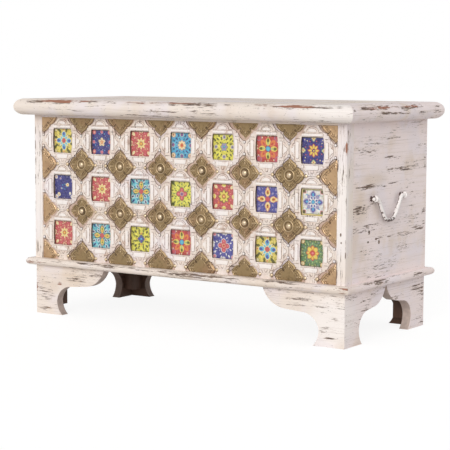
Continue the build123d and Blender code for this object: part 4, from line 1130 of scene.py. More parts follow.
def plate_reach(angles):
    """Distance from the middle of a plate to its outline, at each angle."""
    loop = np.array(mirrored(PLATE_QUARTER))
    theta = np.arctan2(loop[:, 1], loop[:, 0])
    order = np.argsort(theta)
    theta, loop = theta[order], loop[order]
    theta = np.concatenate([theta - 2 * np.pi, theta, theta + 2 * np.pi])
    loop = np.concatenate([loop, loop, loop])
    out = []
    for angle in angles:
        angle = (angle + np.pi) % (2 * np.pi) - np.pi
        i = int(np.searchsorted(theta, angle, side="right")) - 1
        (ax, ay), (bx, by) = loop[i], loop[i + 1]
        dx, dy = math.cos(angle), math.sin(angle)
        cross = (bx - ax) * dy - (by - ay) * dx
        out.append(abs((bx - ax) * ay - (by - ay) * ax) / max(abs(cross), 1e-9))
    return np.array(out)


def bump(value, middle, width):
    """A smooth hump."""
    return math.exp(-((value - middle) / width) ** 2)


def ramp(value, low, high):
    """0 up to low, 1 from high on."""
    return min(1.0, max(0.0, (value - low) / (high - low)))


def pressed(angle, radius, edge, press, ring):
    """Height, patina and seat shade, and lift of a plate at a place. ring is the radius of its ring, or None.
    """
    share = radius / edge
    x, z = radius * math.cos(angle), radius * math.sin(angle)
    lean = math.pi / 2 - abs((angle % math.pi) - math.pi / 2)
    fold = abs(lean - NOTCH)
    valley = bump(fold * radius, 0.0, 1.3) * ramp(radius, 12.0, 18.0)
    pillow = max(0.0, 1 - max(0.0, (share - 0.6) / 0.38) ** 2)
    spine = bump(x if lean > NOTCH else z, 0.0, 0.8) * ramp(radius, 15.0, 19.0)
    ribs = math.cos(fold * 26.0) * ramp(radius, 14.0, 18.0) * ramp(0.78 - share, 0.0, 0.06)
    border = bump(share, 0.85, 0.035)
    height = SHEET * (1 - 0.7 * ramp(share, 0.95, 1.0)) + press * pillow + 0.6 * border + 0.22 * ribs
    height += 0.45 * spine * (share < 0.8) - 0.6 * press * valley * (share < 0.97)
    square = abs(x) + abs(z)
    frame_ridge = (bump(square, 22.5, 1.1) + bump(square, 28.5, 1.0)) * ramp(radius, 12.5, 14.0)
    frame_groove = (bump(square, 25.5, 1.2) + bump(square, 31.2, 1.1)) * ramp(radius, 12.5, 14.0)
    beads = 0.5 + 0.5 * math.cos(SCALLOPS * angle)
    leaf = max(0.0, math.sin(square * 0.9 + 3.0 * math.cos(4 * angle))) * ramp(square, 32.0, 34.0)
    height += 0.8 * frame_ridge - 0.5 * frame_groove + 0.5 * leaf * (share < 0.9)
    # The dark here is patina in the valleys, ribs and frame grooves, and a darker edge to the sheet.
    patina_and_seat_shade = (0.8 * valley + 0.5 * max(0.0, -ribs) + 0.9 * ramp(share, 0.9, 1.0)
              + 0.45 * bump(share, 0.775, 0.02) + 0.75 * frame_groove)
    lift = border * beads + 0.8 * spine * (share < 0.8) + 0.6 * frame_ridge + 0.6 * leaf
    if ring:
        height += 1.1 * bump(radius, ring, 1.15) - 0.7 * bump(radius, 8.4, 1.4)
        # Patina in the groove round the dome, with painted shade where the dome sits, and a dark groove
        # outside the pressed ring.
        patina_and_seat_shade += 0.95 * bump(radius, 8.9, 1.3) + 0.6 * bump(radius, 14.2, 0.9)
        lift += bump(radius, ring, 1.0)
    else:
        height += 0.25 * math.cos(radius * 0.9) * ramp(18.0 - radius, 0.0, 4.0)
    return height, min(1.0, patina_and_seat_shade), min(1.0, lift)


def pressed_plate(brass, ringed):
    """One pressed plate about the origin, standing on the front panel."""
    angles = np.linspace(-math.pi, math.pi, SPOKES, endpoint=False)
    for x, y in mirrored(PLATE_QUARTER):
        nearest = int(np.argmin(np.abs((angles - math.atan2(y, x) + math.pi) % (2 * math.pi) - math.pi)))
        angles[nearest] = math.atan2(y, x)
    angles = np.sort(angles)
    reach = plate_reach(angles)
    scalloped = reach * (1 + 0.018 * np.cos(SCALLOPS * angles))
    rings = ([np.full(SPOKES, radius) for radius in (RINGED_HUB if ringed else PLAIN_HUB)]
             + [HUB + (reach - HUB) * share for share in LOBE_SHARES]
             + [HUB + (scalloped - HUB) * share for share in SCALLOP_SHARES])
    press, ring = brass.embossing / MM, brass.ring_radius / MM if ringed else None
    base = PANEL_Y - PLATE_LIFT * MM
    points, patina_and_seat_shade, lift = [], [], []
    for radii in rings:
        for angle, radius, edge in zip(angles, radii, reach):
            height, patina_and_seat_shade_here, lifted = pressed(angle, radius, edge, press, ring)
            points.append((radius * math.cos(angle) * MM, base - height * MM, radius * math.sin(angle) * MM))
            patina_and_seat_shade.append(patina_and_seat_shade_here)
            lift.append(lifted)
    outer, middle = len(points) - SPOKES, len(points)
    rear = [(x, base, z) for x, _, z in points[outer:]]
    points += [(0.0, base - (SHEET + press) * MM, 0.0)] + rear
    faces = fan(middle, 0, SPOKES)
    for start in range(0, outer, SPOKES):
        faces += band(start, start + SPOKES, SPOKES)
    faces += band(outer, middle + 1, SPOKES)
    faces.append(tuple(range(middle + 1, middle + 1 + SPOKES)))
    made = mesh_object("plate", points, faces, {"patina_and_seat_shade": patina_and_seat_shade + [0.0] + [1.0] * SPOKES,
                                                "lift": lift + [0.0] * (SPOKES + 1)})
    tidy_mesh(made.data)
    return made


def trimmed(made, margin=0.4 * MM):
    """Cut a row of plates off at the edges of the field, and close the cuts."""
    work = bmesh.new()
    work.from_mesh(made.data)
    for place, normal in (((FIELD_X - margin, 0, 0), (1, 0, 0)), ((margin - FIELD_X, 0, 0), (-1, 0, 0)),
                          ((0, 0, FIELD_HIGH - margin), (0, 0, 1)), ((0, 0, FIELD_LOW + margin), (0, 0, -1))):
        cut = bmesh.ops.bisect_plane(work, geom=work.verts[:] + work.edges[:] + work.faces[:], plane_co=place,
                                     plane_no=normal, clear_outer=True)
        edges = [e for e in cut["geom_cut"] if isinstance(e, bmesh.types.BMEdge)]
        if edges:
            bmesh.ops.holes_fill(work, edges=edges, sides=0)
    work.to_mesh(made.data)
    work.free()


def round_head(name, radius, height, steps, rings):
    """A round head about the origin: its flat lies at y 0 and it stands out towards the front."""
    sphere = (radius**2 + height**2) / (2 * height)
    limit = math.asin(min(1.0, radius / sphere))
    points, patina_and_seat_shade = [(0.0, -height, 0.0)], [0.0]
    for ring in range(1, rings + 1):
        angle = limit * ring / rings
        out, rise = sphere * math.sin(angle), sphere * math.cos(angle) - (sphere - height)
        for i in range(steps):
            turn = 2 * math.pi * i / steps
            points.append((out * math.cos(turn), -rise, out * math.sin(turn)))
            # Painted shade: the outer rings of a head grow dark, for the shade round its seat.
            patina_and_seat_shade.append((ring / rings) ** 2)
    faces = fan(0, 1, steps)
    last = 1 + (rings - 1) * steps
    for start in range(1, last, steps):
        faces += band(start, start + steps, steps)
    faces.append(tuple(range(last, last + steps)))
    made = mesh_object(name, points, faces, {"patina_and_seat_shade": patina_and_seat_shade, "lift": [0.0] * len(points)})
    tidy_mesh(made.data, 1e-7)
    smooth(made.data, ROUND_CREASE)
    return made


def aged_brass(name, base, seed, polish=0.0):
    """Antique brass: dull gold with coppery patches, darker in its creases from patina and round the seats of
    its domes and heads as painted shade.
    """
    brass = bpy.context.scene.chest_brass
    finish = Finish(name)
    patches = finish.noise(45.0, 3.0, 0.55, seed)
    stain = finish.noise(7.0, 4.0, 0.6, seed + 9.0)
    patina_and_seat_shade, lift = finish.attribute("patina_and_seat_shade"), finish.attribute("lift")
    colour = base
    # The last dark mix is patina in the creases and painted shade round the seats of domes and heads.
    for tint, share in (
            (brass.pink_brass, patches.rise(0.48, 0.72) * (0.6 - 0.5 * polish)),
            (brass.dark_brass, stain.rise(0.5, 0.75) * (0.5 - 0.35 * polish)),
            (brass.bright_brass, (lift * (stain * 0.8 + 0.5)).rise(0.15, 0.9) * 0.6),
            (brass.dark_brass, (patina_and_seat_shade * (stain * 1.2 + 0.2)).rise(0.15, 0.85) * 0.85)):
        colour = finish.mix(colour, tint, share)
    relief = stain * 0.5 + finish.noise(2.4, 2.0, 0.5, seed + 15.0) * 0.5
    return finish.shade(colour, stain * 0.25 + (0.36 - 0.14 * polish), relief, 0.25, Metallic=0.75)


class CHEST_OT_press_plates(bpy.types.Operator):
    """Press the brass plates of the front"""

    bl_idname = "chest.press_plates"
    bl_label = "Press brass plates"

    def execute(self, context):
        brass = context.scene.chest_brass
        olive = aged_brass("plate_brass", brass.brass, 2.0)
        gold = aged_brass("side_plate_brass", brass.gold_brass, 8.0, polish=0.25)
        inner_x, inner_z = PLATE_X[1:-1], PLATE_Z[1:-1]
        edge_x, edge_z = (PLATE_X[0], PLATE_X[-1]), (PLATE_Z[0], PLATE_Z[-1])
        for name, xs, zs, material, node in (
                ("full", inner_x, inner_z, olive, "full_brass_plates"),
                ("top", inner_x, edge_z[:1], olive, "top_brass_half_plates"),
                ("bottom", inner_x, edge_z[1:], olive, "bottom_brass_half_plates"),
                ("side", edge_x, inner_z, gold, "side_brass_half_plates"),
                ("corner", edge_x, edge_z, gold, "corner_brass_plates")):
            places = [(x, 0.0, z) for x in xs for z in zs]
            made = repeat(f"pressed_{name}_plates", pressed_plate(brass, name == "full"), places, material,
                          turn=0.03, spread=0.012, wobble=0.0009, wobble_size=0.016, seed=len(places))
            trimmed(made)
            smooth(made.data, PLATE_CREASE)
            settle(made, "chest", "antique_brass", node)
        return {"FINISHED"}


class CHEST_OT_drive_tacks(bpy.types.Operator):
    """Drive the domes and the round tacks"""

    bl_idname = "chest.drive_tacks"
    bl_label = "Drive domes and tacks"

    def execute(self, context):
        brass, paint = context.scene.chest_brass, context.scene.chest_paint
        bright = aged_brass("dome_brass", brass.bright_brass, 12.0, polish=1.0)
        finish = Finish("painted_tack")
        colour, rough, relief = worn_paint(finish, paint.clean_and_highlight_paint, 2, 17.0, amount=0.01)
        # Dirt and painted shade: the rim of each painted head darkens to wood colour where it sits on the
        # wood.
        colour = finish.mix(colour, paint.worn_wood, finish.attribute("patina_and_seat_shade").rise(0.1, 0.6) * 0.85)
        painted = finish.shade(colour, rough, relief, 0.2)
        side, above = TACK_SIDE * MM, TACK_ABOVE * MM
        domes = [(x, PANEL_Y - SHEET * MM - brass.embossing + DOME_SINK * MM, z)
                 for x in PLATE_X[1:-1] for z in PLATE_Z[1:-1]]
        tacks = [(x + beside, FACE_Y + TACK_SINK * MM, z) for x in PLATE_X for z in PLATE_Z[1:]
                 for beside in (-side, side) if abs(x + beside) < FIELD_X]
        rings = [(x, FACE_Y + RING_TACK_SINK * MM, z + up) for x in PLATE_X for z in PLATE_Z
                 for up in (-above, above) if FIELD_LOW < z + up < FIELD_HIGH]
        dome_head = round_head("dome", brass.dome_radius, DOME_HEIGHT * MM, 24, 6)
        tack_head = round_head("tack", brass.tack_radius, TACK_HEIGHT * MM, 12, 3)
        ring_head = round_head("ring_tack", brass.tack_radius * 0.9, RING_TACK_HEIGHT * MM, 12, 3)
        for name, head, places, material, node, slot, how in (
                ("hammered_domes", dome_head, domes, bright, "brass_domes", "antique_brass",
                 {"spread": 0.04, "wobble": 0.0004, "wobble_size": 0.006, "seed": 31}),
                ("round_tacks", tack_head, tacks, bright, "brass_tacks", "antique_brass",
                 {"spread": 0.08, "seed": 32}),
                ("painted_round_tacks", ring_head, rings, painted, "painted_tacks", "painted_iron",
                 {"spread": 0.08, "seed": 33})):
            made = repeat(name, head, places, material, **how)
            smooth(made.data, ROUND_CREASE)
            settle(made, "chest", slot, node)
        return {"FINISHED"}


# ------------------------------------------------------------------ painted and bare wood
# Strokes of wear. A stroke has its place, half its size along the piece and across, and a
# strength; the tables name the two coordinates that vary.
RIGHT_STREAKS = (  # y, z, half length, half height, strength
    (-10, 341, 190, 7, 0.8), (-108, 336, 60, 9, 0.9), (110, 336, 70, 7, 0.6), (-112, 291, 74, 13, 0.95),
    (-60, 300, 120, 8, 0.4), (-84, 250, 92, 13, 0.9), (60, 224, 150, 8, 0.8), (160, 229, 40, 12, 0.8),
    (30, 396, 90, 8, 0.6), (60, 368, 130, 9, 0.5), (-50, 352, 110, 6, 0.45), (30, 440, 110, 8, 0.5),
    (-70, 449, 100, 8, 0.45), (-90, 412, 60, 9, 0.45), (166, 416, 36, 12, 0.75), (-136, 372, 9, 34, 0.8),
    (-165, 224, 18, 36, 0.8), (30, 190, 150, 22, 0.4), (-10, 160, 170, 12, 0.35), (186, 260, 12, 60, 0.65),
    (188, 400, 8, 80, 0.5), (-20, 144, 190, 7, 0.5))
LEFT_STREAKS = (
    (40, 350, 150, 8, 0.8), (110, 300, 80, 10, 0.85), (-60, 240, 130, 9, 0.7), (60, 190, 120, 8, 0.6),
    (-100, 410, 80, 9, 0.6), (120, 440, 60, 10, 0.5))
NAIL_MARKS = tuple((y, z, 6, 6, 2.6) for y, z in ((-76, 239), (-71, 230), (-80, 217), (-44, 221), (-30, 215)))
YELLOWED = ((-120, 290, 60, 50), (-150, 215, 44, 60), (-168, 400, 30, 90), (-60, 352, 90, 22))
FOOT_FRONT_RUBS = (  # x, z, half length, half height, strength
    (330, 86, 90, 12, 0.65), (-330, 92, 90, 14, 0.45), (378, 36, 34, 10, 0.8), (-390, 44, 34, 14, 0.6),
    (386, 19, 24, 5, 0.8), (300, 100, 80, 8, 0.5), (-398, 14, 30, 8, 0.6), (-300, 76, 30, 10, 0.5),
    (400, 60, 20, 12, 0.4))
FOOT_SIDE_RUBS = (  # y, z, half length, half height, strength
    (-140, 36, 22, 10, 0.8), (-100, 98, 90, 12, 0.5), (150, 92, 60, 12, 0.55), (170, 50, 30, 14, 0.4),
    (186, 70, 10, 50, 0.5), (-170, 70, 10, 40, 0.5))


def along_x(y, deep, rows):
    """Strokes on a face that looks to the front."""
    return [((x, y, z), (length, deep, height), strength) for x, z, length, height, strength in rows]


def along_y(x, deep, rows):
    """Strokes on a face that looks to the side."""
    return [((x, y, z), (deep, length, height), strength) for y, z, length, height, strength in rows]


def behind(axis, limit, soft=0.6, sign=1, absolute=False):
    """Where a coordinate is past a limit, as a function of the finish."""
    def where(finish):
        here = abs(finish.axis(axis)) if absolute else finish.axis(axis)
        past = here.rise(limit - soft, limit + soft)
        return past if sign > 0 else 1 - past
    return where


def both(first, second):
    """Where two conditions hold."""
    return lambda finish: first(finish) * second(finish)


def either(first, second):
    """Where one of two conditions holds."""
    return lambda finish: first(finish).most(second(finish))


class CHEST_OT_paint_woodwork(bpy.types.Operator):
    """Paint and wear the wood of the chest"""

    bl_idname = "chest.paint_woodwork"
    bl_label = "Paint woodwork"

    def execute(self, context):
        paint = context.scene.chest_paint
        face, field = FACE_Y / MM, FIELD_X / MM
        end_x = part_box("right_end_panel")[1].x / MM
        box_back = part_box("back_panel")[1].y / MM
        self.dress_lid(face, field, box_back)
        self.dress_box(paint, face, field, end_x, box_back)
        self.dress_base(end_x)
        self.dress_feet(paint, face, end_x, box_back)
        dress(unpainted("bare_batten_wood", paint.bare_wood, 1, 25.0), "left_lid_batten", "right_lid_batten")
        dress(unpainted("bare_wood", paint.bare_wood, 0, 21.0), "bottom_panel")
        dress(unpainted("glue_block_wood", paint.dark_wood, 2, 81.0), "foot_glue_blocks")
        return {"FINISHED"}

    def dress_lid(self, face, field, box_back):
        """Rails and panel of the lid: painted outside, bare over the box."""
        x_half, front, top = abs(CAD_BOX[0].x) / MM, CAD_BOX[0].y / MM, CAD_BOX[1].z / MM
        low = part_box("lid_front_rail")[0].z / MM
        rubs = (along_x(front + 5, 14, [(-320, top - 5, 120, 9, 0.9)])
                + along_x(front + 5, 12, [(-150, top - 5, 110, 8, 0.6), (40, top - 5, 90, 7, 0.5),
                                          (300, top - 6, 90, 8, 0.6)])
                + along_x(front + 2, 14, [(-300, low + 17, 110, 9, 0.42), (-80, low + 14, 150, 6, 0.35),
                                          (190, low + 15, 150, 10, 0.42)])
                + along_x(front + 4, 14, [(80, low + 5, 260, 5, 0.45)])
                + along_x(front + 8, 12, [(x_half - 9, top - 20, 7, 12, 1.0)])
                + along_x(front + 2, 12, [(x_half - 4, top - 12, 7, 10, 0.8)]))
        red = (along_x(front + 7, 10, [(-310, top - 3, 100, 7, 0.9)])
               + along_x(front + 7, 8, [(-60, top - 3, 150, 5, 0.45), (240, top - 3, 40, 5, 0.5)])
               + along_x(front + 7, 9, [(320, top - 4, 60, 6, 0.75)]))
        corner = [((x_half - 40, front + 10, top - 16), (130, 60, 60))]
        opening = both(behind(0, field, 0.6, -1, True),
                       both(behind(1, face + 22, 0.6), behind(1, box_back - 18, 0.6, -1)))
        panel_low, panel_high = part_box("lid_panel")
        recess = both(behind(0, panel_high.x / MM + 0.4, 0.2, -1, True),
                      both(behind(1, panel_low.y / MM - 0.4, 0.2),
                           behind(1, panel_high.y / MM + 0.4, 0.2, -1)))
        under = either(both(behind(2, low + 2, 1.0, -1), opening), both(behind(2, top - 4, 0.5, -1), recess))
        dress(woodwork("lid_front_paint", 0, 1.0, rubs=rubs, red_rubs=red, clean=corner, inside=under,
                       edges=[({1: front + 6, 2: top - 6}, 10.0, 0.5)]), "lid_front_rail")
        side_red = (along_y(x_half - 6, 12, [(-80, top - 8, 90, 5, 0.55), (60, top - 7, 70, 4, 0.45)])
                    + along_y(7 - x_half, 9, [(60, top - 3, 90, 6, 0.8)]))
        side_rubs = (along_y(x_half - 2, 14, [(50, top - 21, 150, 5, 0.95), (-60, top - 20, 80, 6, 0.8),
                                              (-150, top - 10, 46, 12, 0.9)])
                     + along_y(x_half - 4, 14, [(0, top - 10, 200, 7, 0.6)])
                     + along_y(x_half - 2, 14, [(190, top - 16, 40, 14, 0.7)])
                     + along_y(x_half - 8, 16, [(-205, top - 16, 12, 20, 0.8)])
                     + along_y(2 - x_half, 14, [(-20, top - 20, 130, 5, 0.8)])
                     + along_y(4 - x_half, 14, [(40, top - 9, 180, 7, 0.7)]))
        dress(woodwork("lid_side_paint", 1, 5.0, end=True, rubs=side_rubs, red_rubs=side_red, inside=under,
                       edges=[({0: x_half - 6, 2: top - 6}, 11.0, 0.5)]), "lid_left_rail", "lid_right_rail")
        dress(woodwork("lid_back_paint", 0, 9.0, inside=under,
                       edges=[({1: -front - 6, 2: top - 6}, 12.0, 0.5)]), "lid_back_rail")
        dress(woodwork("lid_panel_paint", 0, 13.0, amount=0.006, inside=behind(2, top - 3, 0.5, -1)),
              "lid_panel")

    def dress_box(self, paint, face, field, end_x, box_back):
        """Posts, ends, back, top rail and the ground behind the carving."""
        post_rubs = (along_x(face, 8, [(end_x - 12, 243, 5, 6, 1.6), (end_x - 12, 226, 4, 4, 1.2),
                                       (end_x - 8, 330, 5, 60, 0.5)])
                     + [((end_x, face + 9, 452), (10, 9, 22), 0.9),
                        ((end_x, face + 10, 372), (10, 8, 26), 0.7),
                        ((end_x, face + 6, 216), (10, 16, 34), 0.7)]
                     + along_x(face, 8, [(end_x - 11, 160, 12, 20, 0.6), (11 - end_x, 160, 12, 30, 0.6),
                                         (11 - end_x, 440, 12, 40, 0.4)]))
        dress(woodwork("post_paint", 2, 27.0, rubs=post_rubs,
                       red_rubs=[((end_x, face, 424), (8, 10, 20), 1.0)],
                       edges=[({0: end_x, 1: face}, 5.0, 0.75), ({0: field, 1: face}, 3.5, 0.5)],
                       clean=[((sign * (end_x - 12), face, 300), (40, 20, 190)) for sign in (-1, 1)],
                       inside=both(behind(0, field + 0.4, 0.3, -1, True), behind(1, face + 20, 0.5))),
              "front_left_post", "front_right_post")
        streaks = (along_y(end_x, 20, RIGHT_STREAKS) + along_y(-end_x, 20, LEFT_STREAKS)
                   + along_y(end_x, 20, NAIL_MARKS))
        yellowed = [((end_x, y, z), (30, length, height)) for y, z, length, height in YELLOWED]
        dress(woodwork("end_shade_cast_paint", 1, 33.0, end=True, rubs=streaks, stains=yellowed,
                       edges=[({0: end_x, 1: box_back}, 4.0, 0.7)],
                       inside=behind(0, field + 1, 0.6, -1, True)), "left_end_panel", "right_end_panel")
        dress(woodwork("back_paint", 0, 39.0, end=True, amount=0.012,
                       inside=behind(1, box_back - 16, 0.5, -1)), "back_panel")
        dress(woodwork("top_rail_paint", 0, 43.0, inside=behind(1, face + 24, 0.5)), "front_top_rail")
        finish = Finish("front_ground")
        ground = worn_paint(finish, paint.ground_wood, 0, 45.0, amount=0.02)
        inner = stained_wood(finish, paint.bare_wood, 0, 47.0)
        back = behind(1, face + 20, 0.5)(finish)
        dress(finish.shade(*blend_surface(finish, ground, inner, back), 0.3), "front_panel")

    def dress_base(self, end_x):
        """Rails of the base."""
        low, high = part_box("base_front_rail")
        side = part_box("base_right_rail")[1].x / MM
        front, low, high = low.y / MM, low.z / MM, high.z / MM
        rubs = (along_x(front + 3, 10, [(-270, low + 11, 160, 7, 0.65), (60, low + 10, 220, 6, 0.55),
                                        (330, low + 8, 100, 7, 0.55)])
                + along_x(front + 3, 14, [(-100, high - 3, 340, 5, 0.5)])
                + along_x(front + 6, 14, [(300, high - 2, 140, 5, 0.55)]))
        red = along_x(front + 4, 12, [(end_x - 1, low + 9, 24, 10, 1.0), (14 - end_x, low + 6, 46, 7, 0.7)])
        dress(woodwork("base_front_paint", 0, 49.0, rubs=rubs, red_rubs=red,
                       edges=[({1: front + 2, 2: high - 3}, 6.0, 0.35)]), "base_front_rail")
        side_rubs = (along_y(side - 2, 10, [(-70, low + 11, 130, 7, 1.0), (110, low + 9, 110, 6, 0.8)])
                     + along_y(side - 6, 12, [(0, high - 2, 200, 5, 0.7)])
                     + along_y(2 - side, 10, [(0, low + 10, 180, 6, 0.8)]))
        dress(woodwork("base_side_paint", 1, 53.0, end=True, rubs=side_rubs),
              "base_left_rail", "base_right_rail")
        dress(woodwork("base_back_paint", 0, 57.0, end=True), "base_back_rail")

    def dress_feet(self, paint, face, end_x, box_back):
        """Painted faces, pale sawn edges and dark inner faces of the bracket feet."""
        fronts = along_x(face, 12, FOOT_FRONT_RUBS)
        sides = along_y(end_x, 12, FOOT_SIDE_RUBS)
        for name, axis, outer, sign, grain, rubs in (("front", 1, face + 1, 1, 0, fronts),
                                                     ("back", 1, box_back - 1, -1, 0, ()),
                                                     ("side", 0, end_x - 1, -1, 1, sides)):
            finish = Finish(f"foot_{name}_paint")
            # Back and side brackets take the ends' copy of the whitewash, whose cooler cast is painted shade.
            coat = paint.front_paint if name == "front" else paint.end_shade_cast_paint
            painted = worn_paint(finish, coat, grain, 61.0 + 4 * axis + grain, rubs=rubs, amount=0.004,
                                 clean=[((390, face, 60), (90, 90, 90))],
                                 red_rubs=[((-426, face, 60), (7, 12, 46), 0.9),
                                           ((-352, face, 76), (12, 16, 8), 0.9)])
            cut = stained_wood(finish, paint.cut_wood, grain, 71.0, 0.25)
            dark = stained_wood(finish, paint.dark_wood, grain, 77.0)
            # Painted shade: the sawn edges of the back left foot, in the shade under the chest, are darkened
            # towards the dark wood.
            shaded_back_left = (1 - finish.axis(0).rise(-1.0, 1.0)) * finish.axis(1).rise(-1.0, 1.0)
            cut = blend_surface(finish, cut, dark, shaded_back_left * 0.8)
            here = abs(finish.axis(0)) if axis == 0 else finish.axis(1)
            depth = (here - outer) * sign
            surface = blend_surface(finish, painted, cut, depth.rise(0.4, 1.2))
            surface = blend_surface(finish, surface, dark, depth.rise(21.0, 21.8))
            dress(finish.shade(*surface, 0.35), *(
                f"{y_name}_{x_name}_foot_{name}_bracket" for y_name in ("front", "back")
                for x_name in ("left", "right") if name in (y_name, "side")))


# Height of the worn feet of a bail, and the back of its bar from the bar's middle, darkened as worn paint and
# painted shade.
BAIL_FOOT = 22.0
BAIL_WORN_AND_SHADED_BACK = (-1.6, 0.2)


class CHEST_OT_fit_ironwork(bpy.types.Operator):
    """Finish the handles, hinges, screws and nuts"""

    bl_idname = "chest.fit_ironwork"
    bl_label = "Fit ironwork"

    def execute(self, context):
        iron = context.scene.chest_iron
        low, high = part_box("right_handle_bail")
        finish = Finish("painted_iron")
        chips = finish.noise(7.0, 4.0, 0.6, 91.0)
        foot = 1 - finish.axis(2).rise(low.z / MM, low.z / MM + BAIL_FOOT)
        middle = mid(low, high).x / MM
        # Worn paint and painted shade: the side of the bar that faces the panel goes dark.
        back = 1 - abs(finish.axis(0)).rise(middle + BAIL_WORN_AND_SHADED_BACK[0], middle + BAIL_WORN_AND_SHADED_BACK[1])
        gone = (chips + foot * 0.2 + back * 0.2).rise(0.62, 0.67)
        colour = finish.mix(iron.paint, iron.iron, gone)
        painted = finish.shade(colour, gone * 0.15 + 0.38, (1 - gone) * 0.7 + chips * 0.3, 0.2)
        metal = Finish("dull_steel")
        streak = metal.noise((14.0, 1.2, 1.2), 3.0, 0.6, 95.0)
        stain = metal.noise(9.0, 3.0, 0.6, 97.0)
        colour = metal.mix(iron.steel, tuple(c * 0.45 for c in iron.steel), stain.rise(0.48, 0.75) * 0.8)
        steel = metal.shade(colour, streak * 0.25 + 0.3, streak * 0.5 + stain * 0.3, 0.12, Metallic=0.9)
        for side in ("left", "right"):
            dress(painted, f"{side}_handle_bail", f"{side}_handle_eyes")
            dress(steel, f"{side}_hinge_body_leaf", f"{side}_hinge_lid_leaf", f"{side}_hinge_pin")
        dress(steel, "hinge_body_screws", "hinge_lid_screws", "handle_nuts")
        return {"FINISHED"}


# ------------------------------------------------------------------ stage
SUN_WIDTH = math.radians(35.0)
TOWARDS_SUN = Vector((0.33, -0.87, 0.36))
SKY_LEVEL, SKY_ABOVE = 1.25, 0.42
FLOOR_GLOW, FLOOR_GLOW_SHARE = 1.2, 0.74
FLOOR_RADIUS, FLOOR_DROP = 30.0, 0.0002


def seen_rays(graph):
    """1 for the rays that show the background: from the camera, in a mirror or through glass."""
    camera = graph.node("ShaderNodeLightPath", output="Is Camera Ray")
    return camera.most(camera.beside("Is Glossy Ray")).most(camera.beside("Is Transmission Ray"))


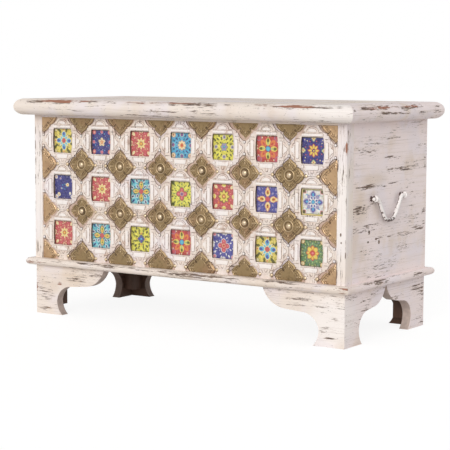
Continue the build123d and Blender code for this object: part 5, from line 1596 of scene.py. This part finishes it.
class CHEST_OT_set_stage(bpy.types.Operator):
    """Set the camera, the lamps and the floor"""

    bl_idname = "chest.set_stage"
    bl_label = "Set stage"

    def execute(self, context):
        stage, scene = context.scene.chest_stage, context.scene
        scene.view_settings.view_transform = "Standard"
        camera = bpy.data.objects.new("camera", bpy.data.cameras.new("camera"))
        camera.data.sensor_width = 36.0
        camera.data.lens = stage.focal_length
        camera.data.clip_end = 100.0
        scene.collection.objects.link(camera)
        turn = (Matrix.Rotation(stage.turn, 4, "Z") @ Matrix.Rotation(math.pi / 2 - stage.tilt, 4, "X")
                @ Matrix.Rotation(stage.roll, 4, "Z"))
        camera.matrix_world = Matrix.Translation(stage.place) @ turn
        scene.camera = camera

        lamp = bpy.data.objects.new("soft_sun", bpy.data.lights.new("soft_sun", "SUN"))
        lamp.data.energy = stage.sun
        lamp.data.angle = SUN_WIDTH
        lamp.matrix_world = TOWARDS_SUN.to_track_quat("Z", "Y").to_matrix().to_4x4()
        scene.collection.objects.link(lamp)

        scene.world = bpy.data.worlds.new("even_light")
        scene.world.use_nodes = True
        graph = Graph(scene.world.node_tree)
        towards = graph.node("ShaderNodeTexCoord", output="Generated")
        sky = graph.node("ShaderNodeMapRange", None, {
            "Value": graph.node("ShaderNodeSeparateXYZ", None, {0: towards}, "Z"),
            "To Min": stage.sky * SKY_LEVEL, "To Max": stage.sky * SKY_ABOVE})
        strength = graph.node("ShaderNodeMapRange", None,
                              {"Value": seen_rays(graph), "To Min": sky, "To Max": 1.0})
        graph.end("ShaderNodeOutputWorld", Surface=graph.node(
            "ShaderNodeBackground", None, {"Color": (1.0, 1.0, 1.0, 1.0), "Strength": strength}))

        ground = Finish("pale_floor")
        ground.end("ShaderNodeOutputMaterial", Surface=ground.node("ShaderNodeMixShader", None, {
            0: seen_rays(ground) * FLOOR_GLOW_SHARE,
            1: ground.node("ShaderNodeBsdfDiffuse", None, {"Color": (*stage.floor, 1.0)}),
            2: ground.node("ShaderNodeEmission", None, {"Strength": FLOOR_GLOW})}))
        bpy.ops.mesh.primitive_circle_add(vertices=64, radius=FLOOR_RADIUS, fill_type="NGON",
                                          location=(0.0, 0.0, -FLOOR_DROP))
        floor = context.active_object
        floor.name = "floor"
        floor.data.materials.append(ground.material)
        return {"FINISHED"}


# ------------------------------------------------------------------ panel and registration
SETTINGS = {"chest_paint": ChestPaintSettings, "chest_carving": ChestCarvingSettings,
            "chest_brass": ChestBrassSettings, "chest_glaze": ChestGlazeSettings,
            "chest_iron": ChestIronSettings, "chest_stage": ChestStageSettings}
OPERATORS = (CHEST_OT_set_stage, CHEST_OT_paint_woodwork, CHEST_OT_carve_medallions, CHEST_OT_lay_tiles,
             CHEST_OT_press_plates, CHEST_OT_drive_tacks, CHEST_OT_fit_ironwork)


class VIEW3D_PT_dowry_chest(bpy.types.Panel):
    """Settings and pieces of the dowry chest"""

    bl_idname = "VIEW3D_PT_dowry_chest"
    bl_label = "Dowry Chest"
    bl_space_type = "VIEW_3D"
    bl_region_type = "UI"
    bl_category = "Dowry Chest"

    def draw(self, context):
        layout = self.layout
        for operator in OPERATORS:
            layout.operator(operator.bl_idname)
        for name in SETTINGS:
            group = getattr(context.scene, name)
            box = layout.box()
            box.label(text=name.replace("chest_", "").capitalize())
            for key in group.bl_rna.properties.keys():
                if key not in ("rna_type", "name"):
                    box.prop(group, key)


def register():
    """Register the settings, the operators and the panel."""
    for name, group in SETTINGS.items():
        bpy.utils.register_class(group)
        setattr(bpy.types.Scene, name, bpy.props.PointerProperty(type=group))
    for operator in OPERATORS:
        bpy.utils.register_class(operator)
    bpy.utils.register_class(VIEW3D_PT_dowry_chest)


def unregister():
    """Undo register."""
    bpy.utils.unregister_class(VIEW3D_PT_dowry_chest)
    for operator in reversed(OPERATORS):
        bpy.utils.unregister_class(operator)
    for name, group in SETTINGS.items():
        delattr(bpy.types.Scene, name)
        bpy.utils.unregister_class(group)


def main():
    """Make every piece."""
    register()
    for operator in OPERATORS:
        family, name = operator.bl_idname.split(".")
        result = getattr(getattr(bpy.ops, family), name)()
        if result != {"FINISHED"}:
            raise RuntimeError(f"{operator.bl_label} didn't finish")


if __name__ == "__main__":
    main()
